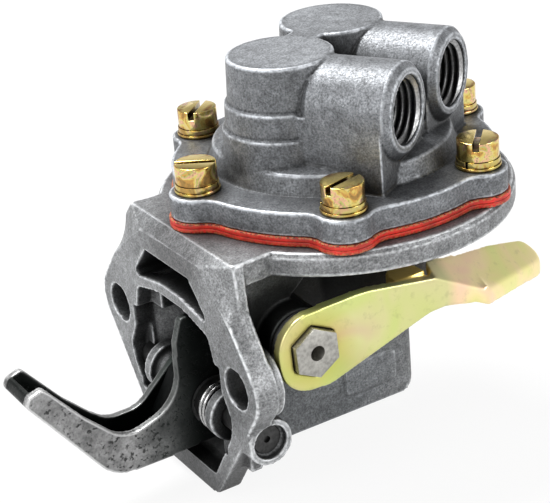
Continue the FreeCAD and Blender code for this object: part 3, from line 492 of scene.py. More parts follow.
def run_tree(piece, tree, values):
    """Gives the piece the tree as a modifier with its inputs set, and keeps the result."""
    modifier = piece.modifiers.new(tree.name, "NODES")
    modifier.node_group = tree
    for item in tree.interface.items_tree:
        if item.item_type == "SOCKET" and item.in_out == "INPUT" and item.name in values:
            modifier[item.identifier] = values[item.name]
    return freeze(piece)


# Material helpers


class Finish(NodeWriter):
    """A small writer for one procedural material."""

    def __init__(self, name, **values):
        self.material = bpy.data.materials.new(name)
        self.material.use_nodes = True
        super().__init__(self.material.node_tree)
        self.shader = self.tree.nodes["Principled BSDF"]
        self.place = self.node("ShaderNodeTexCoord").outputs["Object"]
        self.feed(self.shader, {key.replace("_", " "): value for key, value in values.items()})

    def noise(self, scale, detail=2.0, roughness=0.5, distortion=0.0):
        return self.node("ShaderNodeTexNoise", {
            "Vector": self.place, "Scale": scale, "Detail": detail, "Roughness": roughness,
            "Distortion": distortion,
        }).outputs["Fac"]

    def cells(self, scale):
        return self.node(
            "ShaderNodeTexVoronoi", {"Vector": self.place, "Scale": scale}
        ).outputs["Distance"]

    def mix(self, factor, first, second, blend="MIX"):
        return self.node(
            "ShaderNodeMix", {"Factor": factor, 6: first, 7: second}, data_type="RGBA",
            blend_type=blend,
        ).outputs[2]

    def hues(self, factor, base, *stops):
        """A ramp of shades of a colour; each stop has its place and a factor for each channel."""
        return self.ramp(factor, *(
            (place, tuple(a * b for a, b in zip(base, parts))) for place, parts in stops
        ))

    def part(self, vector, axis):
        return self.node("ShaderNodeSeparateXYZ", {0: vector}).outputs[axis]

    def rise(self, value, start, span, clamp=True):
        """0 where the value is at the start and 1 where it is the span past it."""
        return self.math("DIVIDE", self.math("SUBTRACT", value, start), span, clamp=clamp)

    def edges(self, low, high):
        """Lightness on outer edges, from how far the surface bulges; it stands for wear and painted
        highlight.
        """
        pointed = self.node("ShaderNodeNewGeometry").outputs["Pointiness"]
        return self.ramp(pointed, (low, 0.0), (high, 1.0))

    def bulges(self, *stops):
        """A ramp over the bulge that the casting's mesh carries."""
        node = self.node("ShaderNodeAttribute", attribute_name="bulge")
        return self.ramp(node.outputs["Fac"], *stops)

    def occlusion_shade(self, distance, low, high):
        """Painted shade: dark in corners and recesses, where shade falls."""
        node = self.node("ShaderNodeAmbientOcclusion", {"Distance": distance}, samples=6)
        return self.ramp(node.outputs["AO"], (low, 0.0), (high, 1.0))

    def channel(self, half, blend):
        """1 between the arm's two walls: on faces that look up or sideways, and on all inside."""
        off_middle = self.math("ABSOLUTE", self.part(self.place, "Y"))
        between = self.math("DIVIDE", self.math("SUBTRACT", half + blend, off_middle), blend, True)
        normal = self.node("ShaderNodeNewGeometry").outputs["Normal"]
        upward = self.rise(self.part(normal, "Z"), -0.3, 0.2)
        beside = self.rise(self.math("ABSOLUTE", self.part(normal, "Y")), 0.5, 0.2)
        inside = self.math("MAXIMUM", upward, beside)
        return self.math("MULTIPLY", between, self.math("MAXIMUM", inside, self.beyond(-8, 2)))

    def beyond(self, start, span):
        """0 up to a distance out from the flange face, in mm, and 1 from the span past it."""
        return self.rise(self.part(self.place, "X"), start * MM, span * MM)

    def behind(self, start, span):
        """0 in front of a depth across the pump, in mm, and 1 from the span behind it."""
        return self.rise(self.part(self.place, "Y"), start * MM, span * MM)

    def spots(self, source, *spots):
        """Tints round patches, of painted shade or light on the castings and of the lever's own
        colour: each has a centre, an inner and an outer radius in mm and a tint.
        """
        for centre, inner, outer, tint in spots:
            distance = self.node(
                "ShaderNodeVectorMath", {0: self.place, 1: Vector(centre) * MM},
                operation="DISTANCE",
            ).outputs["Value"]
            away = self.rise(distance, inner * MM, (outer - inner) * MM)
            source = self.mix(away, self.mix(1.0, source, tint, "MULTIPLY"), source)
        return source

    def bump(self, height, distance, strength, **base):
        """Lifts the surface; a Normal may be given as its base."""
        return self.node("ShaderNodeBump", {
            "Height": height, "Distance": distance, "Strength": strength, **base,
        }).outputs["Normal"]

    def coat(self, colour, roughness, **normal):
        """Feeds the shader and gives the finished material."""
        self.feed(self.shader, {"Base Color": colour, "Roughness": roughness, **normal})
        return self.material


def tinted(colour, factor):
    return tuple(min(1.0, c * factor) for c in colour)


def casting_finish(name, tone, grain, edge_light, low, spots):
    """Cast aluminium: fine grain, edges pale from wear and painted highlight, painted shade in
    creases and recesses, and round patches of painted shade or light.
    """
    finish = Finish(name, Metallic=0.55)
    fine = finish.noise(grain, detail=3.0, roughness=0.6)
    grains = finish.ramp(
        fine, (0.3, tinted(tone, 0.5)), (0.5, tone), (0.7, tinted(tone, 1.5))
    )
    patches = finish.ramp(finish.noise(520, detail=4.0, roughness=0.65), (0.32, 0.66), (0.68, 1.3))
    clouds = finish.ramp(finish.noise(70, detail=3.0), (0.32, 0.8), (0.68, 1.16))
    mottled = finish.mix(1.0, finish.mix(1.0, grains, patches, "MULTIPLY"), clouds, "MULTIPLY")
    pits = finish.ramp(finish.cells(grain * 0.42), (0.05, 0.45), (0.14, 1.0))
    pitted = finish.mix(0.6, mottled, pits, "MULTIPLY")
    crest = finish.bulges((0.57, 0.0), (0.72, 1.0))
    chipped = finish.ramp(finish.noise(900, detail=2.0), (0.36, 0.35), (0.56, 1.0))
    # Pale crests: partly edge wear, partly painted highlight.
    worn_and_highlit = finish.mix(
        finish.math("MULTIPLY", crest, chipped), pitted, tinted(tone, edge_light)
    )
    # Painted shade in the concave creases.
    crease_shade_colour = finish.mix(1.0, worn_and_highlit, (0.3, 0.3, 0.3), "MULTIPLY")
    crease_shaded = finish.mix(finish.bulges((0.3, 0.0), (0.45, 1.0)), crease_shade_colour, worn_and_highlit)
    # Painted shade in recesses and under the ring, from occlusion out to 24 mm.
    shaded = finish.mix(finish.occlusion_shade(24 * MM, low, 0.9), tinted(tone, 0.04), crease_shaded)
    # Round patches of painted shade on the body and of painted light on the cover's tower tops.
    return finish.coat(
        finish.spots(shaded, *spots), finish.ramp(fine, (0.3, 0.56), (0.7, 0.4)),
        Normal=finish.bump(fine, 0.09 * MM, 0.6),
    )


def plated_finish(name, plating, strength=1.0):
    """Yellow zinc that shifts between gold, orange brown, green and pink, with edges pale from wear
    and painted highlight and painted shade in its recesses.
    """
    finish = Finish(name, Metallic=1.0)
    drift = finish.noise(270, detail=2.0, distortion=1.2)
    hues = finish.hues(
        drift, plating, (0.34, (0.5, 0.32, 0.3)), (0.42, (1.0, 0.62, 0.45)),
        (0.48, (1.2, 1.15, 0.85)), (0.54, (1.2, 1.4, 1.5)), (0.60, (1.4, 0.9, 2.0)),
        (0.66, (0.7, 1.05, 1.0)), (0.74, (1.1, 0.65, 0.4)),
    )
    specks = finish.ramp(finish.noise(2200, detail=2.0), (0.34, 0.4), (0.46, 1.0))
    speckled = finish.mix(0.6 * strength, hues, specks, "MULTIPLY")
    # Pale edges: partly wear, partly painted highlight.
    worn_and_highlit = finish.mix(finish.edges(0.52, 0.6), speckled, tinted(plating, 1.6))
    # Painted shade in corners and recesses.
    shaded = finish.mix(finish.occlusion_shade(3 * MM, 0.2, 0.85), tinted(plating, 0.05), worn_and_highlit)
    return finish.coat(
        shaded, finish.ramp(drift, (0.3, 0.26), (0.7, 0.13)),
        Normal=finish.bump(finish.noise(700, detail=2.0), 0.05 * MM, 0.35),
    )


def steel_finish(name, tone, grain=900, roughness=(0.42, 0.26)):
    """Plain worked steel with faint tool marks."""
    finish = Finish(name, Metallic=1.0)
    marks = finish.noise(grain, detail=3.0)
    return finish.coat(
        finish.ramp(marks, (0.3, tinted(tone, 0.72)), (0.7, tinted(tone, 1.15))),
        finish.ramp(marks, (0.3, roughness[0]), (0.7, roughness[1])),
        Normal=finish.bump(marks, 0.02 * MM, 0.4),
    )


def rubber_finish(name, tone, roughness=0.6):
    finish = Finish(name)
    blooms = finish.noise(700, detail=3.0)
    return finish.coat(
        finish.ramp(blooms, (0.3, tinted(tone, 0.7)), (0.7, tinted(tone, 1.4))),
        finish.ramp(blooms, (0.3, roughness), (0.7, roughness * 0.8)),
        Normal=finish.bump(blooms, 0.02 * MM, 0.4),
    )


# Castings

# Round pools of painted shade on the body, near the lever hub, on the housing side and on the
# platform: centre, inner and outer radius in mm, and tint.
BODY_SHADE_POOLS = (
    ((13, -21, 9), 7, 12, (0.16, 0.17, 0.16)),
    ((33, -16, 7), 8, 15, (0.45, 0.46, 0.44)),
    ((28, -15.5, -10), 12, 24, (0.66, 0.68, 0.70)),
    ((1, -4, 24), 7, 13, (0.62, 0.61, 0.61)),
)
# Painted light on the two tower tops, which also stands for their smoother machined faces: centre,
# inner and outer radius in mm, and tint.
COVER_TOP_LIGHT = (
    ((29.75, -2, 56.6), 9.2, 10.3, (1.42, 1.42, 1.42)),
    ((49.85, 9.6, 56.6), 9.2, 10.3, (1.32, 1.32, 1.32)),
)


class FUELPUMP_OT_body_casting(bpy.types.Operator):
    """Round and finish the body casting with its flange and rocker housing"""

    bl_idname = "fuel_pump.body_casting"
    bl_label = "Body casting"

    def execute(self, context):
        values = settings().casting
        piece = merged_copy("pump_body", "body_casting")
        round_casting(piece, values.rounding, CASTING_FACES, 1)
        piece.data.materials.append(casting_finish(
            "body_aluminium", values.body_tone, values.grain, 3.0, 0.32, BODY_SHADE_POOLS
        ))
        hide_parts("pump_body")
        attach(piece, "pump")
        return {"FINISHED"}


class FUELPUMP_OT_cover_casting(bpy.types.Operator):
    """Round and finish the cover casting, with its port bores opened for the threads"""

    bl_idname = "fuel_pump.cover_casting"
    bl_label = "Cover casting"

    def execute(self, context):
        values = settings().casting
        threads = settings().threads
        bottom = PORT_MOUTH - threads.turns * threads.pitch
        piece = merged_copy("top_cover", "cover_casting")
        for side in (-1, 1):
            cut_away(piece, tool_cylinder(
                "port_cutter", threads.root_radius, bottom, PORT_MOUTH + CUTTER_OVERLAP,
                port_matrix(side),
            ))
        round_casting(piece, values.rounding * COVER_CELL_SHARE, CASTING_FACES, 1)
        piece.data.materials.append(casting_finish(
            "cover_aluminium", values.cover_tone, values.grain, 3.2, 0.2, COVER_TOP_LIGHT
        ))
        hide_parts("top_cover")
        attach(piece, "pump")
        return {"FINISHED"}


# Port threads, as a spiral ridge that follows the bore


def thread_tree():
    """A thread: a blunt ridge swept along a spiral, faded at both ends and laid in its port."""
    writer = TreeWriter("PortThread", ("Turns", "Pitch", "Root Radius", "Ridge"), ("Place", "Aim"))
    turns, pitch = writer.given("Turns"), writer.given("Pitch")
    root, ridge = writer.given("Root Radius"), writer.given("Ridge")
    spiral = writer.node("GeometryNodeCurveSpiral", {
        "Resolution": 72, "Rotations": turns, "Start Radius": root, "End Radius": root,
        "Height": writer.math("MULTIPLY", turns, pitch),
    })
    path = writer.node("GeometryNodeSetCurveNormal", {"Curve": spiral.outputs[0]}, mode="Z_UP")
    foot = writer.math("MULTIPLY", pitch, 0.44)
    crest = writer.math("MULTIPLY", pitch, 0.09)
    corners = {}
    for i, (reach, half, side) in enumerate((
        (0.0, foot, -1.0), (ridge, crest, -1.0), (ridge, crest, 1.0), (0.0, foot, 1.0),
    )):
        corners[f"Point {i + 1}"] = writer.vector(X=reach, Y=writer.math("MULTIPLY", half, side))
    section = writer.node("GeometryNodeCurvePrimitiveQuadrilateral", corners, mode="POINTS")
    along = writer.node("GeometryNodeSplineParameter").outputs["Factor"]
    ends = writer.math("MINIMUM", along, writer.math("SUBTRACT", 1.0, along))
    swell = writer.math("MINIMUM", writer.math("MULTIPLY", ends, 60.0), 1.0)
    ribbon = writer.node("GeometryNodeCurveToMesh", {
        "Curve": path.outputs[0], "Profile Curve": section.outputs[0],
        "Scale": writer.math("MAXIMUM", swell, 0.08), "Fill Caps": True,
    })
    laid = writer.node("GeometryNodeTransform", {
        "Geometry": ribbon.outputs[0], "Translation": writer.given("Place"),
        "Rotation": writer.given("Aim"),
    })
    return writer.finish(laid.outputs[0])


def thread_finish():
    """Cut aluminium, with painted shade in the roots between the crests."""
    finish = Finish("thread_aluminium", Metallic=0.9)
    marks = finish.noise(1800, detail=2.0)
    cut = finish.ramp(marks, (0.3, 0.24), (0.7, 0.46))
    # Painted shade in the thread roots.
    root_shaded = finish.mix(finish.occlusion_shade(2.4 * MM, 0.4, 1.0), (0.008, 0.009, 0.009), cut)
    return finish.coat(root_shaded, finish.ramp(marks, (0.3, 0.44), (0.7, 0.3)))


class FUELPUMP_OT_port_threads(bpy.types.Operator):
    """Cut threads in the two ports"""

    bl_idname = "fuel_pump.port_threads"
    bl_label = "Port threads"

    def execute(self, context):
        values = settings().threads
        material = thread_finish()
        for side, name in ((-1, "near_port_thread"), (1, "far_port_thread")):
            low = PORT_MOUTH - values.turns * values.pitch - THREAD_RUN_OUT
            start = port_matrix(side) @ Vector((0, 0, low))
            piece = run_tree(add_object(name, bpy.data.meshes.new(name)), thread_tree(), {
                "Turns": values.turns, "Pitch": values.pitch, "Root Radius": values.root_radius,
                "Ridge": values.root_radius - values.crest_radius, "Place": start,
                "Aim": (0, math.radians(90), PORT_TURN), "Material": material,
            })
            face_outwards(piece)
            shade_smooth(piece, 50)
            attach(piece, "pump")
        return {"FINISHED"}


# Diaphragm edge


def diaphragm_finish(tone):
    """Glossy red coating, worn to pale cloth specks along the cut edge, with painted shade in its
    narrow corners.
    """
    finish = Finish("red_coated_fabric", Specular_IOR_Level=0.35)
    speck = finish.noise(2300, detail=2.5, roughness=0.7)
    broad = finish.noise(240, detail=2.0)
    reds = finish.ramp(broad, (0.35, tinted(tone, 0.7)), (0.65, tinted(tone, 1.3)))
    height = finish.rise(finish.part(finish.place, "Z"), PUMP_AXIS.z, LAYERS, clamp=False)
    cut_edge = finish.ramp(
        height, (0.0, 0.9), (0.2, 0.5), (0.34, 0.1), (0.5, 0.3), (0.6, 0.0), (0.84, 0.2),
        (0.94, 1.0),
    )
    threads = finish.ramp(speck, (0.46, 0.0), (0.53, 1.0))
    worn = finish.mix(finish.math("MULTIPLY", threads, cut_edge), reds, (0.36, 0.19, 0.07))
    dots = finish.ramp(finish.noise(1700, detail=2.0), (0.4, 1.0), (0.48, 0.0))
    dark = finish.mix(finish.math("MULTIPLY", dots, cut_edge), worn, (0.10, 0.012, 0.008))
    return finish.coat(
        # Painted shade in the narrow corners, such as the gap between the layers.
        finish.mix(finish.occlusion_shade(0.8 * MM, 0.2, 0.75), (0.05, 0.004, 0.003), dark),
        finish.ramp(speck, (0.4, 0.36), (0.7, 0.62)), Normal=finish.bump(speck, 0.08 * MM, 0.7),
    )


class FUELPUMP_OT_diaphragm(bpy.types.Operator):
    """Round the edges of the two red layers and finish them"""

    bl_idname = "fuel_pump.diaphragm"
    bl_label = "Diaphragm layers"

    def execute(self, context):
        material = diaphragm_finish(settings().diaphragm.tone)
        for node in ("diaphragm_lower_layer", "diaphragm_upper_layer"):
            piece = merged_copy(node, node.replace("diaphragm", "red"))
            dissolve_flats(piece)
            round_edges(piece, 0.3 * MM, angle=50)
            shade_smooth(piece, 60)
            piece.data.materials.append(material)
            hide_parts(node)
            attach(piece, "pump")
        return {"FINISHED"}


# Screws and washers


def screw_points(name, count, angles, level):
    """One point for each screw, with its slot's direction as an attribute."""
    mesh = bpy.data.meshes.new(name)
    points = []
    for i in range(count):
        turn = PORT_TURN + math.tau * i / count
        spot = Vector((SCREW_CIRCLE * math.cos(turn), SCREW_CIRCLE * math.sin(turn), level))
        points.append(PUMP_AXIS + spot)
    mesh.from_pydata(points, [], [])
    turned = mesh.attributes.new("turned", "FLOAT", "POINT")
    turns = [math.radians(angles[i % len(angles)]) for i in range(count)]
    turned.data.foreach_set("value", turns)
    return add_object(name, mesh)


def screw_tree():
    writer = TreeWriter(
        "CheeseHeadScrews", ("Head Radius", "Head Height", "Slot Width", "Slot Depth")
    )
    height = writer.given("Head Height")
    head = writer.cylinder(64, writer.given("Head Radius"), height)
    raised = writer.moved(head, writer.vector(Z=writer.math("MULTIPLY", height, 0.5)))
    bar = writer.cube(writer.vector(
        X=writer.math("MULTIPLY", writer.given("Head Radius"), 3.0), Y=writer.given("Slot Width"),
        Z=writer.math("MULTIPLY", writer.given("Slot Depth"), 2.0),
    ))
    slotted = writer.cut(raised, writer.moved(bar, writer.vector(Z=height)))
    return writer.finish(writer.on_points(slotted))


def washer_tree():
    writer = TreeWriter("FlatWashers", ("Outer Radius", "Inner Radius", "Thickness", "Split"))
    radius, thickness = writer.given("Outer Radius"), writer.given("Thickness")
    deep = writer.math("MULTIPLY", thickness, 3.0)
    disc = writer.cylinder(64, radius, thickness)
    bore = writer.cylinder(48, writer.given("Inner Radius"), deep)
    gap = writer.cube(writer.vector(X=radius, Y=writer.given("Split"), Z=deep))
    ring = writer.cut(disc, bore, writer.moved(gap, writer.vector(X=radius)))
    raised = writer.moved(ring, writer.vector(Z=writer.math("MULTIPLY", thickness, 0.5)))
    return writer.finish(writer.on_points(raised))


class FUELPUMP_OT_cover_screws(bpy.types.Operator):
    """Place the six slotted screws with their spring and plain washers"""

    bl_idname = "fuel_pump.cover_screws"
    bl_label = "Cover screws"

    def execute(self, context):
        values = settings().screws
        zinc = plated_finish("screw_zinc", values.plating)
        dull = plated_finish("washer_zinc", tinted(values.plating, 0.8), 0.5)
        plain_top = SEAT_LEVEL + PLAIN_WASHER
        head_low = plain_top + SPRING_WASHER
        self.place(
            "cover_screws", "screw_heads", SLOT_ANGLES, head_low, screw_tree(), {
                "Head Radius": values.head_radius, "Head Height": values.head_height,
                "Slot Width": values.slot_width, "Slot Depth": values.slot_depth,
                "Material": zinc,
            }, 0.35 * MM, 3,
        )
        self.place(
            "spring_washers", "spring_rings", SPLIT_ANGLES, plain_top, washer_tree(), {
                "Outer Radius": RING_RADIUS, "Inner Radius": RING_BORE,
                "Thickness": SPRING_WASHER, "Split": RING_SPLIT, "Material": dull,
            }, 0.12 * MM,
        )
        self.place(
            "plain_washers", "flat_rings", SPLIT_ANGLES, SEAT_LEVEL, washer_tree(), {
                "Outer Radius": values.washer_radius, "Inner Radius": PLAIN_BORE,
                "Thickness": PLAIN_WASHER, "Split": 0.0, "Material": dull,
            }, 0.2 * MM,
        )
        return {"FINISHED"}

    def place(self, node, name, angles, level, tree, sizes, edge, segments=2):
        """Sets one copy at each screw, rounds its edges and replaces the CAD node."""
        points = screw_points(name, settings().screws.count, angles, level)
        piece = run_tree(points, tree, sizes)
        round_edges(piece, edge, segments)
        shade_smooth(piece, 35)
        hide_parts(node)
        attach(piece, "pump")


# Rocker arm and priming lever


def arm_finish():
    """Grey hardened steel with dark pits; black in its channel, partly its own dark inside and
    partly painted shade; edges pale from wear and painted highlight; painted shade in its recesses
    and towards the flange.
    """
    finish = Finish("dark_hardened_steel", Metallic=0.7)
    fine = finish.noise(1900, detail=3.0, roughness=0.65)
    blotch = finish.noise(260, detail=3.0, roughness=0.6)
    base = finish.ramp(blotch, (0.32, 0.13), (0.5, 0.22), (0.68, 0.3))
    grains = finish.ramp(fine, (0.34, 0.72), (0.62, 1.2))
    grained = finish.mix(1.0, base, grains, "MULTIPLY")
    marks = finish.ramp(finish.noise(950, detail=2.0, roughness=0.7), (0.365, 0.1), (0.42, 1.0))
    pitted = finish.mix(0.85, grained, marks, "MULTIPLY")
    # Pale edges: partly wear, partly painted highlight.
    worn_and_highlit = finish.mix(finish.bulges((0.55, 0.0), (0.75, 1.0)), pitted, (0.6, 0.6, 0.6))
    # Painted shade towards the flange face, where the arm goes into the body's dark chamber.
    chamber_shaded = finish.mix(finish.beyond(-16, 17), worn_and_highlit, (0.022, 0.03, 0.026))
    # Painted shade in recesses, out to 16 mm.
    shaded = finish.mix(finish.occlusion_shade(16 * MM, 0.35, 0.95), (0.004, 0.005, 0.005), chamber_shaded)
    return finish.coat(
        # Black between the walls: partly the channel's own dark inside, partly painted shade where
        # it lies in the chamber mouth.
        finish.mix(finish.channel(4.1 * MM, 0.35 * MM), shaded, (0.003, 0.005, 0.004)),
        finish.ramp(blotch, (0.35, 0.52), (0.65, 0.34)),
        Normal=finish.bump(marks, 0.1 * MM, 0.6, Normal=finish.bump(fine, 0.04 * MM, 0.4)),
    )


class FUELPUMP_OT_rocker_arm(bpy.types.Operator):
    """Round the pressed rocker arm and finish it"""

    bl_idname = "fuel_pump.rocker_arm"
    bl_label = "Rocker arm"

    def execute(self, context):
        piece = merged_copy("rocker_arm", "pressed_rocker_arm")
        round_casting(piece, PRESSING_CELL, PRESSING_FACES)
        piece.data.materials.append(arm_finish())
        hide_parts("rocker_arm")
        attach(piece, "rocker")
        return {"FINISHED"}


def lever_finish(plating):
    """Pale yellow passivated zinc with pink and green drifts and worn brown spots; painted shade in
    its recesses, and painted light on the stop tab and the thumb pad.
    """
    finish = Finish("lever_zinc", Metallic=0.8)
    drift = finish.noise(55, detail=2.0, distortion=0.8)
    hues = finish.hues(
        drift, plating, (0.34, (0.92, 1.05, 0.9)), (0.48, (1, 1, 1)), (0.58, (1.08, 0.98, 1.25)),
        (0.68, (1.08, 0.82, 1.35)),
    )
    rubs = finish.ramp(finish.noise(420, detail=4.0, roughness=0.7), (0.30, 0.72), (0.44, 1.0))
    worn = finish.mix(0.5, hues, rubs, "MULTIPLY")
    # Painted shade in recesses, out to 5 mm.
    shade = (plating[0] * 0.3, plating[1] * 0.24, plating[2] * 0.1)
    shaded = finish.mix(finish.occlusion_shade(5 * MM, 0.1, 0.6), shade, worn)
    gold = finish.spots(
        shaded, ((15.4, -30.2, 5.2), 5.5, 10.5, (0.92, 0.80, 0.62)),
        ((24, -30.2, -3), 2.5, 7, (0.93, 0.84, 0.92)),
    )
    # Painted light on the stop tab, which sits in the ring's shadow: bright gold behind the lever's
    # face, between the hub and the pad.
    before_pad = finish.math("SUBTRACT", 1.0, finish.beyond(45, 1))
    tab = finish.math("MULTIPLY", finish.beyond(34, 2), before_pad)
    behind = finish.math("MULTIPLY", tab, finish.behind(-28.9, 0.4))
    tab_painted_light = finish.mix(behind, gold, (1.0, 0.72, 0.20))
    # Painted light on the thumb pad, lighter and pinker from 48 mm out.
    pale = finish.mix(1.0, tab_painted_light, (1.38, 1.17, 1.32), "MULTIPLY")
    return finish.coat(
        finish.mix(finish.beyond(48, 3), tab_painted_light, pale), finish.ramp(drift, (0.3, 0.4), (0.7, 0.28)),
        Normal=finish.bump(finish.noise(1500, detail=2.0), 0.02 * MM, 0.4),
    )


def add_pad_root(piece):
    """A wedge at the thumb pad's root and a bead in its corner, which the remesh joins to it."""
    corner = PUMP_AXIS + Vector((16.9, -30.2, -20.9)) * MM
    bead = corner + Vector((-0.1, 1.3, -1.4)) * MM
    depth = Vector((0, 0, 2.4 * MM))
    along = Vector((0.8827, 0, -0.46993))
    across = Vector((0.23496, 0.86603, 0.44135))
    outline = (
        (-15.4, 0.3), (-5.5, 0.5), (-3.5, 4.0), (-3.5, 9.4), (-7.0, 9.0), (-13.5, 6.2),
        (-16.2, 4.4), (-16.2, 2.2),
    )
    with editing(piece.data) as build:
        top = [build.verts.new(corner + (along * u + across * v) * MM) for u, v in outline]
        low = [build.verts.new(vert.co - depth) for vert in top]
        new = [build.faces.new(top), build.faces.new(list(reversed(low)))]
        for i in range(len(top)):
            j = (i + 1) % len(top)
            new.append(build.faces.new((top[j], top[i], low[i], low[j])))
        bmesh.ops.recalc_face_normals(build, faces=new)
        bmesh.ops.create_icosphere(
            build, subdivisions=3, radius=1.5 * MM, matrix=Matrix.Translation(bead),
        )


def soften_pad(piece):
    """Rounds the pad, its fold and its lip more than the rest of the lever."""
    group = piece.vertex_groups.new(name="pad")
    start, span = PUMP_AXIS.x + 4 * MM, 6 * MM
    for vert in piece.data.vertices:
        weight = min(1.0, max(0.0, (vert.co.x - start) / span))
        if weight > 0:
            group.add([vert.index], weight, "REPLACE")
    add_modifier(piece, "SMOOTH", factor=0.5, iterations=60, vertex_group="pad")
    freeze(piece)


class FUELPUMP_OT_priming_lever(bpy.types.Operator):
    """Round the priming lever and its hexagon shaft and finish them"""

    bl_idname = "fuel_pump.priming_lever"
    bl_label = "Priming lever"

    def execute(self, context):
        lever = merged_copy("priming_lever", "yellow_priming_lever")
        add_pad_root(lever)
        round_casting(lever, PRESSING_CELL, PRESSING_FACES, 3, soften_pad)
        lever.data.materials.append(lever_finish(settings().lever.plating))
        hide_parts("priming_lever")
        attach(lever, "priming")
        shaft = merged_copy("priming_shaft", "hexagon_shaft")
        dissolve_flats(shaft)
        round_edges(shaft, 0.22 * MM, 2, 25)
        shade_smooth(shaft, 35)
        shaft.data.materials.append(
            steel_finish("shaft_steel", (0.42, 0.41, 0.38), 1200, (0.5, 0.34))
        )
        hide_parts("priming_shaft")
        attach(shaft, "priming")
        return {"FINISHED"}


# The remaining pieces keep their CAD shape and get a finish

# Springs that a moving piece presses: node, joint, level of the fixed end and travel, in mm
PRESSED_SPRINGS = (
    ("diaphragm_spring", "diaphragm_stroke", 8.8, 4.25),
    ("outlet_spring", "outlet_valve_lift", 40.35, 1.5),
    ("inlet_spring", "inlet_valve_lift", 34.35, 1.5),
)


class FUELPUMP_OT_inner_parts(bpy.types.Operator):
    """Finish the pin, plates, seals and valves, and the springs that a moving piece presses"""

    bl_idname = "fuel_pump.inner_parts"
    bl_label = "Inner parts"

    def execute(self, context):
        finishes = {
            "plain_steel": steel_finish("plain_steel", (0.3, 0.3, 0.3)),
            "spring_steel": steel_finish("spring_wire", (0.45, 0.45, 0.45), 1600, (0.3, 0.2)),
            "seal_rubber": rubber_finish("seal_rubber", (0.02, 0.02, 0.02)),
            "valve_rubber": rubber_finish("valve_rubber", (0.03, 0.03, 0.032), 0.5),
            "brass": steel_finish("turned_brass", (0.6, 0.42, 0.16), 700, (0.34, 0.22)),
        }
        special = {
            "rocker_pin": steel_finish("pin_end_steel", (0.07, 0.07, 0.07), 1000, (0.6, 0.4)),
            "link_lever": steel_finish("oiled_link_steel", (0.006, 0.007, 0.007), 900, (0.6, 0.5)),
        }
        for node, joint, anchor, travel in PRESSED_SPRINGS:
            piece = merged_copy(node, node.replace("spring", "coil"))
            shade_smooth(piece, 40)
            piece.data.materials.append(finishes["spring_steel"])
            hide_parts(node)
            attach(piece, "pump")
            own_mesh(piece)
        for entry in frame["record"]["subparts"]:
            material = finishes.get(entry["material_slot"])
            if material is None:
                continue
            material = special.get(entry["node"], material)
            piece = frame["nodes"][entry["node"]]
            for place in piece.material_slots:
                place.material = material
        return {"FINISHED"}


# Stage


def show_to_seers(writer, plain, seen, output, share=1.0):
    """Mixes in another surface or sky for rays from the camera, a mirror or a glass."""
    rays = writer.node("ShaderNodeLightPath").outputs
    seers = writer.math("MAXIMUM", rays["Is Camera Ray"], rays["Is Glossy Ray"])
    seers = writer.math("MAXIMUM", seers, rays["Is Transmission Ray"])
    mix = writer.node("ShaderNodeMixShader", {
        0: writer.math("MULTIPLY", seers, share), 1: plain.outputs[0], 2: seen.outputs[0],
    })
    writer.feed(writer.tree.nodes[output], {"Surface": mix.outputs[0]})


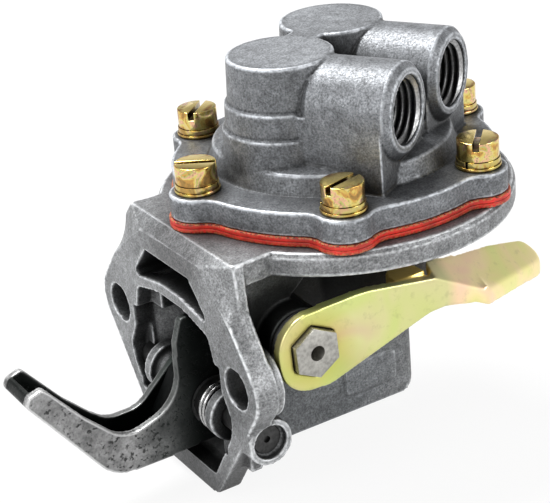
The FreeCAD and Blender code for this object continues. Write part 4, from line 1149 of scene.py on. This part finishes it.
class FUELPUMP_OT_stage(bpy.types.Operator):
    """Set the camera, the pale floor and the soft lamps"""

    bl_idname = "fuel_pump.stage"
    bl_label = "Stage"

    def execute(self, context):
        values = settings().stage
        scene = context.scene
        camera = bpy.data.cameras.new("photo_camera")
        camera.sensor_width = 36
        camera.sensor_fit = "HORIZONTAL"
        camera.lens = values.lens
        camera.clip_end = 20
        eye = bpy.data.objects.new("photo_camera", camera)
        right = Vector((0.84577365, -0.527282, -0.08149002))
        up = Vector((0.28528692, 0.31786618, 0.90419714))
        back = Vector((-0.45086396, -0.78799415, 0.4192695))
        turned = Matrix((right, up, back)).transposed().to_4x4()
        eye.matrix_world = Matrix.Translation(values.camera_place) @ turned
        scene.collection.objects.link(eye)
        scene.camera = eye
        self.lay_floor(values.floor_level)
        self.hang_lamps(scene)
        self.light_world(scene)
        scene.view_settings.view_transform = "Standard"
        return {"FINISHED"}

    def lay_floor(self, level):
        mesh = bpy.data.meshes.new("pale_floor")
        reach = 3.0
        mesh.from_pydata(
            [(-reach, -reach, level), (reach, -reach, level), (reach, reach, level),
             (-reach, reach, level)], [], [(0, 1, 2, 3)],
        )
        floor = add_object("pale_floor", mesh)
        finish = Finish("pale_floor", Base_Color=(0.85, 0.85, 0.85), Roughness=0.9)
        glow = finish.node("ShaderNodeEmission", {"Color": (1, 1, 1)})
        show_to_seers(finish, finish.shader, glow, "Material Output", share=0.9)
        mesh.materials.append(finish.material)

    def hang_lamps(self, scene):
        middle = Vector((0.032, 0, 0.015))
        for name, place, power in (
            ("left_softbox", Vector((-0.85, -0.25, 0.55)), 5.5),
            ("right_softbox", Vector((0.50, -0.80, 0.40)), 5.0),
            ("top_softbox", Vector((-0.12, 0.40, 0.92)), 17.0),
        ):
            lamp = bpy.data.lights.new(name, "AREA")
            lamp.shape = "SQUARE"
            lamp.size = 0.5
            lamp.energy = power
            holder = bpy.data.objects.new(name, lamp)
            holder.location = middle + place
            holder.rotation_euler = (-place).to_track_quat("-Z", "Y").to_euler()
            scene.collection.objects.link(holder)

    def light_world(self, scene):
        """A room that is white along the horizon and grey overhead where it is seen or mirrored."""
        world = bpy.data.worlds.new("pale_room")
        world.use_nodes = True
        writer = NodeWriter(world.node_tree)
        room = writer.tree.nodes["Background"]
        writer.feed(room, {"Color": (1, 1, 1), "Strength": 0.32})
        place = writer.node("ShaderNodeTexCoord").outputs["Generated"]
        height = writer.node("ShaderNodeSeparateXYZ", {0: place}).outputs["Z"]
        sky = writer.ramp(height, (0.05, 1.0), (0.45, 0.3))
        seen = writer.node("ShaderNodeBackground", {"Color": sky, "Strength": 1.0})
        show_to_seers(writer, room, seen, "World Output")
        scene.world = world


# Panel and registration


class FuelPumpSettings(bpy.types.PropertyGroup):
    """All sizes and colours of the pump"""

    casting: PointerProperty(type=CastingSettings, name="Castings")
    screws: PointerProperty(type=ScrewSettings, name="Screws")
    threads: PointerProperty(type=ThreadSettings, name="Threads")
    diaphragm: PointerProperty(type=DiaphragmSettings, name="Diaphragm")
    lever: PointerProperty(type=LeverSettings, name="Lever")
    stage: PointerProperty(type=StageSettings, name="Stage")


class FUELPUMP_PT_panel(bpy.types.Panel):
    """Lists the operators that build the pump"""

    bl_idname = "FUELPUMP_PT_panel"
    bl_label = "Fuel Pump"
    bl_space_type = "VIEW_3D"
    bl_region_type = "UI"
    bl_category = "Fuel Pump"

    def draw(self, context):
        for name in OPERATORS:
            self.layout.operator(name)


OPERATORS = (
    "fuel_pump.stage",
    "fuel_pump.body_casting",
    "fuel_pump.cover_casting",
    "fuel_pump.port_threads",
    "fuel_pump.diaphragm",
    "fuel_pump.cover_screws",
    "fuel_pump.rocker_arm",
    "fuel_pump.priming_lever",
    "fuel_pump.inner_parts",
)

CLASSES = (
    CastingSettings,
    ScrewSettings,
    ThreadSettings,
    DiaphragmSettings,
    LeverSettings,
    StageSettings,
    FuelPumpSettings,
    FUELPUMP_OT_body_casting,
    FUELPUMP_OT_cover_casting,
    FUELPUMP_OT_port_threads,
    FUELPUMP_OT_diaphragm,
    FUELPUMP_OT_cover_screws,
    FUELPUMP_OT_rocker_arm,
    FUELPUMP_OT_priming_lever,
    FUELPUMP_OT_inner_parts,
    FUELPUMP_OT_stage,
    FUELPUMP_PT_panel,
)


def register():
    for item in CLASSES:
        bpy.utils.register_class(item)
    bpy.types.Scene.fuel_pump = PointerProperty(type=FuelPumpSettings)


def unregister():
    del bpy.types.Scene.fuel_pump
    for item in reversed(CLASSES):
        bpy.utils.unregister_class(item)


def main():
    register()
    for name in OPERATORS:
        group, call = name.split(".")
        getattr(getattr(bpy.ops, group), call)()


if __name__ == "__main__":
    main()
